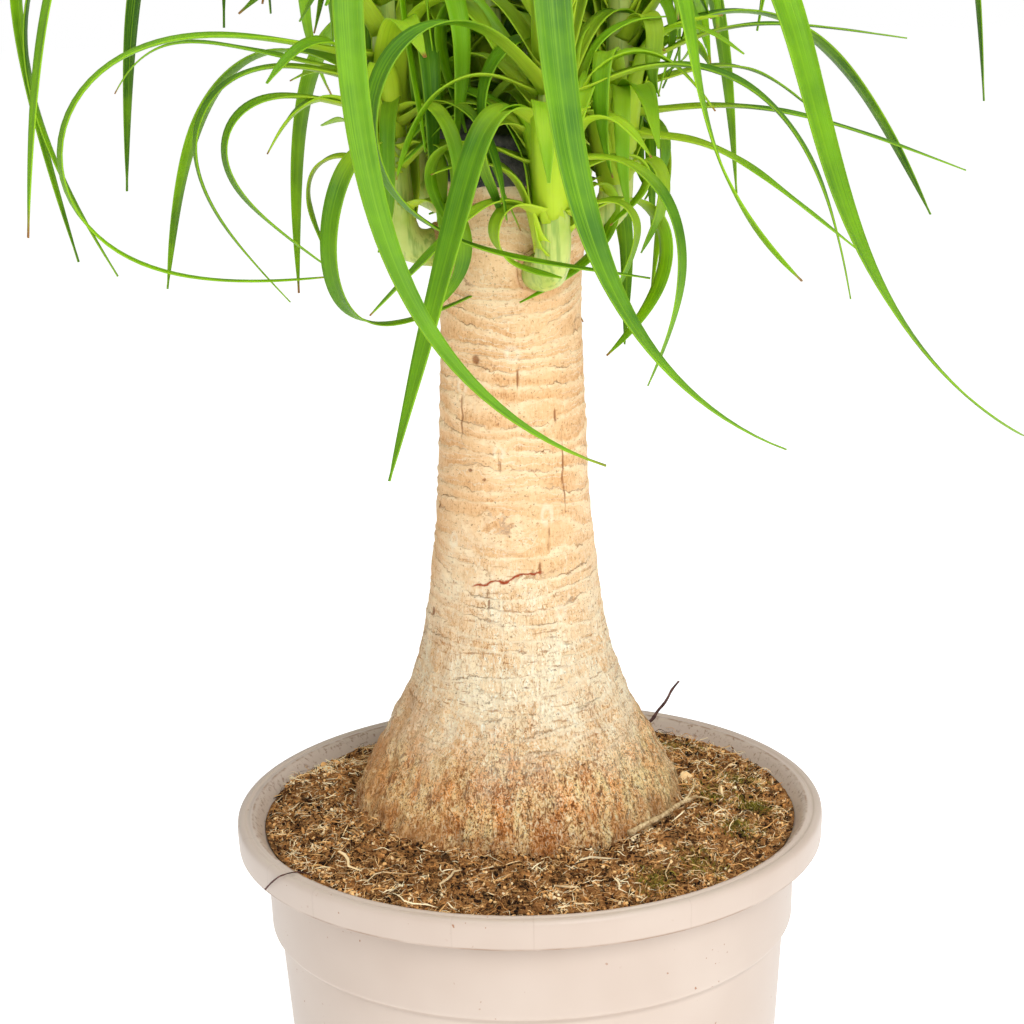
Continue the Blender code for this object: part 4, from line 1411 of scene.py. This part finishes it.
def half_width(along, width):
    """Half the width of a strap leaf: clasping base, long even blade, drawn-out tip."""
    clasp = 1.0 + 0.25 * np.exp(-((along / 0.06) ** 2))
    taper = np.clip(1.0 - along ** 2.4, 0.0, 1.0) ** 0.8
    return 0.5 * width * np.maximum(clasp * taper, 0.08)


def strap_leaf(name, start, row, twist, tone, joints=56, strips=6, cup=0.35):
    """A ribbon along the grown line.

    The row is (heading, sweep, launch, tip, arch, soft, length mm, width mm).
    """
    *shape, length, width = row
    select_nothing()
    bpy.ops.mesh.primitive_grid_add(x_subdivisions=joints, y_subdivisions=strips, size=2.0)
    leaf = named(name)
    stations = grow(start, *shape, length * MM, joints)
    flat = get_points(leaf)
    along = (flat[:, 0] + 1.0) / 2.0
    across = flat[:, 1]
    index = np.clip(np.round(along * joints).astype(int), 0, joints)
    centre, forward, normal = picked(stations, index)
    lateral = np.cross(forward, normal)
    roll = np.radians(twist * along ** 1.5)[:, None]
    side = lateral * np.cos(roll) + normal * np.sin(roll)
    up = normal * np.cos(roll) - lateral * np.sin(roll)
    half = half_width(along, width * MM)
    clasp = np.exp(-along / CLASP_LENGTH)
    channel = half * (cup * (1.0 - 0.6 * along) + 0.45 * clasp) * np.abs(across) ** 1.4
    ripple = 0.05 * half * np.sin(along * 21.0 + tone * 9.0) * across
    laid = centre + side * (across * half * (1.0 - 0.22 * clasp))[:, None] + up * (channel + ripple)[:, None]
    set_points(leaf, laid)
    thick = leaf.modifiers.new("thickness", "SOLIDIFY")
    thick.thickness = LEAF_THICKNESS
    thick.offset = 0.0
    apply_modifiers(leaf)
    count = len(flat)
    paint_channel(leaf, "along", np.tile(along, 2))
    paint_channel(leaf, "across", np.tile(across, 2))
    paint_channel(leaf, "underside", np.repeat([0.0, 1.0], count))
    paint_channel(leaf, "tone", np.full(2 * count, tone))
    paint_channel(leaf, "reach", np.tile(along * length * MM, 2))
    bpy.ops.object.shade_smooth()
    return leaf


# %% [markdown]
# ## Leaf finish
#
# Fine parallel veins run the whole length. The upper side is a glossy mid green, the
# underside a duller green, the margins are thin and pale, the clasping base is nearly
# yellow, and the last centimetre of some tips has dried brown. A little subsurface lets the
# light come through the blade, which is what makes the crown glow.

# %% Leaf finish
def leaf_finish(name, dark, fresh):
    """Green blade with veins, pale margins, pale base and dry tip."""
    r = Recipe(name)
    along = r.channel("along")
    across = r.channel("across")
    reach = r.channel("reach")
    tone = r.channel("tone")
    lines = r.add("ShaderNodeCombineXYZ", X=r.times(across, 9.0), Y=r.times(reach, 8.0),
                  Z=r.times(tone, 40.0)).outputs["Vector"]
    veins = r.noise(1.6, 3.0, 0.65, lines)
    clouds = r.noise(34.0, 3.0, 0.55)
    colour = r.mix(r.ramp(r.math("ADD", clouds, r.times(r.math("SUBTRACT", tone, 0.5), 0.5)), 0.25, 0.75),
                   linear(*dark), linear(*fresh))
    colour = r.layers(
        colour,
        (r.ramp(veins, 0.5, 0.68, 0.0, 0.5), (142, 186, 14)),
        (r.ramp(veins, 0.3, 0.44, 0.4, 0.0), (24, 62, 0)))
    # Painted highlight: a paler green line along the middle of the blade.
    rib_highlight = r.ramp(r.math("ABSOLUTE", across), 0.0, 0.10, 1.0, 0.0)
    colour = r.mix(r.times(rib_highlight, 0.35), colour, linear(146, 192, 26))
    margin = r.ramp(r.math("ABSOLUTE", across), 0.90, 0.99)
    colour = r.mix(r.times(margin, 0.5), colour, linear(160, 198, 40))
    under = r.channel("underside")
    colour = r.mix(r.times(under, 0.35), colour, linear(92, 142, 44))
    base = r.ramp(reach, 0.008, 0.050, 1.0, 0.0)
    colour = r.mix(r.times(base, 0.75), colour, linear(190, 212, 56))
    tip = r.times(r.ramp(along, 0.965, 0.995), r.ramp(tone, 0.55, 0.6))
    colour = r.mix(tip, colour, linear(150, 104, 52))
    relief = r.bump(veins, 0.35, 0.0004)
    return r.finish(colour, r.ramp(clouds, 0.3, 0.7, 0.38, 0.50), relief, Subsurface_Weight=0.25,
                    Subsurface_Scale=0.0012, Subsurface_Radius=(0.6, 1.0, 0.02), Specular_IOR_Level=0.16)


leaf_green = leaf_finish("leaf_blade_finish", (42, 90, 0), (128, 180, 0))
leaf_fresh = leaf_finish("young_leaf_finish", (116, 168, 6), (184, 214, 40))

# %% [markdown]
# ## The leaves of the measured plant
#
# Each row below gives one leaf: how far up its shoot it starts, its compass heading, how far
# it drifts, its launch and tip slopes, where and how gradually it turns over, and its length
# and width. These are the same rows as those of the measured solids, and each fine leaf
# stands for its solid.

# %% Leaf rows
# Strap leaves, by shoot.  Angles in degrees: heading is the compass angle the
# leaf leaves with (0 right, 90 back, 180 left, 270 front) and sweep how far it
# drifts; launch and tip are its slopes at both ends (below -90 it curls under).
# arch is where along its length it turns over and soft how gradually.
# (up the shoot mm, heading, sweep, launch, tip, arch, soft, length mm, width mm)
LEAVES = {
    "left": [
        (62, 200, 0, 20, -140, 0.44, 0.09, 136, 9),
        (72, 196, 0, 24, -130, 0.42, 0.12, 158, 8),
        (82, 200, 0, 18, -180, 0.50, 0.12, 274, 9),
        (98, 184, 0, 58, -118, 0.42, 0.15, 282, 12),
        (92, 218, 0, 60, -75, 0.40, 0.13, 350, 12),
        (50, 250, -70, 15, -205, 0.42, 0.19, 172, 8),
        (40, 180, 0, 35, -110, 0.35, 0.12, 62, 8),
        (104, 265, 93, 65, -64, 0.23, 0.07, 368, 12),
    ],
    "front": [
        (80, 224, -50, 52, -170, 0.36, 0.13, 246, 10),
        (64, 238, 0, 40, -60, 0.18, 0.05, 178, 12),
        (34, 208, 0, 38, -38, 0.20, 0.07, 84, 8),
        (54, 318, 0, 18, -118, 0.36, 0.16, 126, 7),
        (34, 338, 0, 30, -115, 0.38, 0.09, 62, 6),
        (90, 268, 89, 53, -64, 0.27, 0.06, 305, 14),
        (76, 346, 0, 34, -80, 0.35, 0.18, 160, 10),
        (112, 301, 118, 48, -91, 0.31, 0.06, 217, 9),
        (105, 203, 0, 58, -85, 0.47, 0.12, 340, 12),
    ],
    "right": [
        (98, 298, 138, 48, -84, 0.23, 0.08, 328, 14),
        (40, 340, 0, 2, -36, 0.25, 0.10, 104, 9),
        (48, 2, 0, 8, -22, 0.30, 0.15, 132, 8),
        (58, 16, 0, 15, -40, 0.55, 0.12, 78, 8),
        (66, 350, 0, 30, -8, 0.35, 0.12, 106, 8),
        (24, 308, 0, 65, -125, 0.30, 0.12, 60, 7),
        (28, 42, 0, 70, -100, 0.20, 0.06, 85, 7),
        (76, 352, 0, 60, -95, 0.42, 0.12, 320, 11),
        (86, 28, 0, 66, -85, 0.42, 0.12, 380, 12),
    ],
    "back_right": [
        (40, 30, 0, 40, -60, 0.35, 0.15, 220, 11),
        (55, 66, 0, 50, -80, 0.40, 0.15, 280, 12),
        (70, 90, 0, 60, -85, 0.42, 0.12, 330, 12),
        (80, 34, 0, 66, -85, 0.45, 0.12, 390, 12),
        (92, 56, 0, 76, -80, 0.45, 0.12, 410, 13),
    ],
    "back": [
        (40, 62, 0, 40, -80, 0.35, 0.15, 180, 11),
        (50, 132, 0, 50, -90, 0.35, 0.15, 230, 11),
        (65, 104, 0, 60, -85, 0.42, 0.12, 320, 12),
        (85, 78, 0, 72, -82, 0.45, 0.12, 390, 13),
        (98, 124, 0, 78, -85, 0.46, 0.12, 430, 13),
    ],
    "back_left": [
        (52, 182, 0, 15, -60, 0.80, 0.08, 120, 8),
        (40, 150, 0, 40, -80, 0.35, 0.15, 190, 10),
        (64, 138, 0, 62, -85, 0.42, 0.12, 310, 12),
        (76, 164, 0, 66, -105, 0.42, 0.12, 370, 12),
        (90, 196, 0, 76, -85, 0.45, 0.12, 390, 13),
    ],
}

leaf_pick = random.Random(19)
for shoot, rows in LEAVES.items():
    for number, (up, *row) in enumerate(rows, 1):
        start = leaf_start(shoot, up, row[0])
        leaf = strap_leaf(f"blade_{shoot}_{number:02d}", start, row, leaf_pick.uniform(-24, 24),
                          leaf_pick.random())
        coat(leaf, leaf_green)
        finished(leaf, "leaf_green", f"leaf_{shoot}_{number:02d}")
print("leaves:", sum(len(rows) for rows in LEAVES.values()))

# %% [markdown]
# ## Leaf bases and the full fountain
#
# Round each shoot stand short broad leaf bases, pale and tightly packed, whose ends curl
# outwards. Above them come many more leaves of every age. They are grown with a fixed seed:
# a leaf that starts higher is younger, longer and stands steeper, and lower down some short
# ones curl. A leaf that would leave the measured box, or hang too low, is drawn again.

# %% Sheaths and filler leaves
BOX_LOW, BOX_HIGH = cad_box
grow_pick = random.Random(5)

# The extra leaves stay above a skirt that rises outwards and towards the front, so that the
# long hanging leaves of the measured plant stand free below it.
SKIRT_LEVEL = 245 * MM
SKIRT_RISE = 0.85
SKIRT_FRONT_RISE = 0.9
SKIRT_BACK_DROP = 0.29
CROWN_CORE = 62 * MM


def skirt(point):
    """Lowest height over the rim that an extra leaf may reach at a place."""
    level = SKIRT_LEVEL + SKIRT_RISE * abs(point.x) + SKIRT_FRONT_RISE * max(0.0, -point.y)
    return level - SKIRT_BACK_DROP * max(0.0, point.y)


def fits(start, row, margin=3 * MM):
    """Whether a leaf's line stays inside the measured box and above the skirt."""
    *shape, length, _ = row
    for point, _, _ in grow(start, *shape, length * MM, 24):
        if math.hypot(point.x, point.y) > CROWN_CORE and point.z - RIM_HEIGHT < skirt(point):
            return False
        if not (BOX_LOW.x + margin < point.x < BOX_HIGH.x - margin):
            return False
        if not (BOX_LOW.y + margin < point.y < BOX_HIGH.y - margin):
            return False
        if not point.z < BOX_HIGH.z - margin:
            return False
    return True


SHEATHS = 9
FILLERS = 26
CURLS = 12
for shoot, (compass_degrees, shoot_height, length) in SHOOTS.items():
    sheaths = []
    for i in range(SHEATHS):
        heading = compass_degrees + (i - (SHEATHS - 1) / 2) * 300 / SHEATHS + grow_pick.uniform(-12, 12)
        up = 20 + i * 5 + grow_pick.uniform(-3, 3)
        row = (heading, grow_pick.uniform(-15, 15), grow_pick.uniform(76, 88), grow_pick.uniform(-70, 10),
               grow_pick.uniform(0.5, 0.7), 0.12, grow_pick.uniform(55, 105), grow_pick.uniform(11, 16))
        sheaths.append(strap_leaf(f"sheath_{shoot}_{i}", leaf_start(shoot, up, heading), row,
                                  grow_pick.uniform(-20, 20), grow_pick.random(), 26, 6, 0.5))
    sheath = join(f"leaf_bases_{shoot}", sheaths)
    coat(sheath, leaf_fresh)
    finished(sheath, "leaf_green")
    fillers = []
    while len(fillers) < FILLERS + CURLS:
        age = grow_pick.random()
        curly = len(fillers) >= FILLERS
        heading = compass_degrees + grow_pick.gauss(0, 60)
        if curly:
            up = length * grow_pick.uniform(0.2, 0.75)
            row = (heading, grow_pick.uniform(-90, 90), grow_pick.uniform(15, 65),
                   grow_pick.uniform(-170, -50), grow_pick.uniform(0.3, 0.55), grow_pick.uniform(0.08, 0.18),
                   grow_pick.uniform(55, 125), grow_pick.uniform(6, 10))
        else:
            up = length * (0.45 + 0.53 * (1 - age))
            row = (heading, grow_pick.uniform(-70, 70), grow_pick.uniform(62, 84) - 30 * age,
                   grow_pick.uniform(-120, -40), grow_pick.uniform(0.28, 0.55), grow_pick.uniform(0.08, 0.18),
                   grow_pick.uniform(110, 400) * (1 - 0.45 * age), grow_pick.uniform(7, 12))
        start = leaf_start(shoot, up, heading)
        if not fits(start, row):
            continue
        fillers.append(strap_leaf(f"filler_{shoot}_{len(fillers)}", start, row, grow_pick.uniform(-60, 60),
                                  grow_pick.random(), 34, 4))
    filler = join(f"more_leaves_{shoot}", fillers)
    coat(filler, leaf_green)
    finished(filler, "leaf_green")
    print(shoot, "faces:", len(sheath.data.polygons) + len(filler.data.polygons))

# %% [markdown]
# ## Floor, light and camera
#
# A pale floor, a bright surround, a soft key from the front right and a soft box overhead
# keep the shade gentle, as in a catalogue studio. The camera is a short telephoto at the
# height of the crown. It looks down by sixteen degrees and is rolled by one and a half.

# %% Studio
FLOOR_GLOW = 0.53
select_nothing()
bpy.ops.mesh.primitive_plane_add(size=8.0, location=(0.0, 0.0, -0.5 * MM))
floor = settle(named("studio_floor"))
coat(floor, Recipe("studio_floor_finish").finish(linear(252, 252, 252), 0.9, Emission_Strength=FLOOR_GLOW,
                                                 Emission_Color=(1.0, 1.0, 1.0, 1.0)))

world = bpy.data.worlds.new("studio_surround")
bpy.context.scene.world = world
world.use_nodes = True
SURROUND_LIGHT = 0.46
SEEN_WHITE = 1.0
sky = world.node_tree
background = sky.nodes["Background"]
background.inputs["Color"].default_value = (1.0, 1.0, 1.0, 1.0)
seen = sky.nodes.new("ShaderNodeLightPath").outputs["Is Camera Ray"]
surround = sky.nodes.new("ShaderNodeMapRange")
surround.inputs["To Min"].default_value = SURROUND_LIGHT
surround.inputs["To Max"].default_value = SEEN_WHITE
sky.links.new(seen, surround.inputs["Value"])
sky.links.new(surround.outputs["Result"], background.inputs["Strength"])
bpy.context.scene.view_settings.view_transform = "Standard"

AIM = Vector((-0.004, 0.0, 0.3246))


def softbox(name, place, size, power):
    """A square area light that looks at the plant."""
    lamp = bpy.data.lights.new(name, "AREA")
    lamp.shape = "SQUARE"
    lamp.size = size
    lamp.energy = power
    box = bpy.data.objects.new(name, lamp)
    box.location = place
    box.rotation_euler = (AIM - Vector(place)).to_track_quat("-Z", "Y").to_euler()
    bpy.context.collection.objects.link(box)


KEY_POWER = 22.0
OVERHEAD_POWER = 14.0
softbox("key", (0.6, -1.6, 1.3), 0.9, KEY_POWER)
softbox("overhead", (0.1, -0.2, 1.7), 1.2, OVERHEAD_POWER)

DISTANCE = 1.2
PITCH = math.radians(16.31)
ROLL = math.radians(-1.5)
lens = bpy.data.cameras.new("camera")
lens.sensor_width = 36.0
lens.lens = 105.5
camera = bpy.data.objects.new("camera", lens)
bpy.context.collection.objects.link(camera)
camera.location = AIM + Vector((0.0, -math.cos(PITCH), math.sin(PITCH))) * DISTANCE
camera.rotation_euler = ((AIM - camera.location).to_track_quat("-Z", "Y").to_matrix()
                         @ Matrix.Rotation(ROLL, 3, "Z")).to_euler()
bpy.context.scene.camera = camera

# %% [markdown]
# ## Sizes and the end
#
# The measured box is written out.

# %% Sizes and the end
print("measured box", [tuple(round(v, 4) for v in corner) for corner in cad_box])
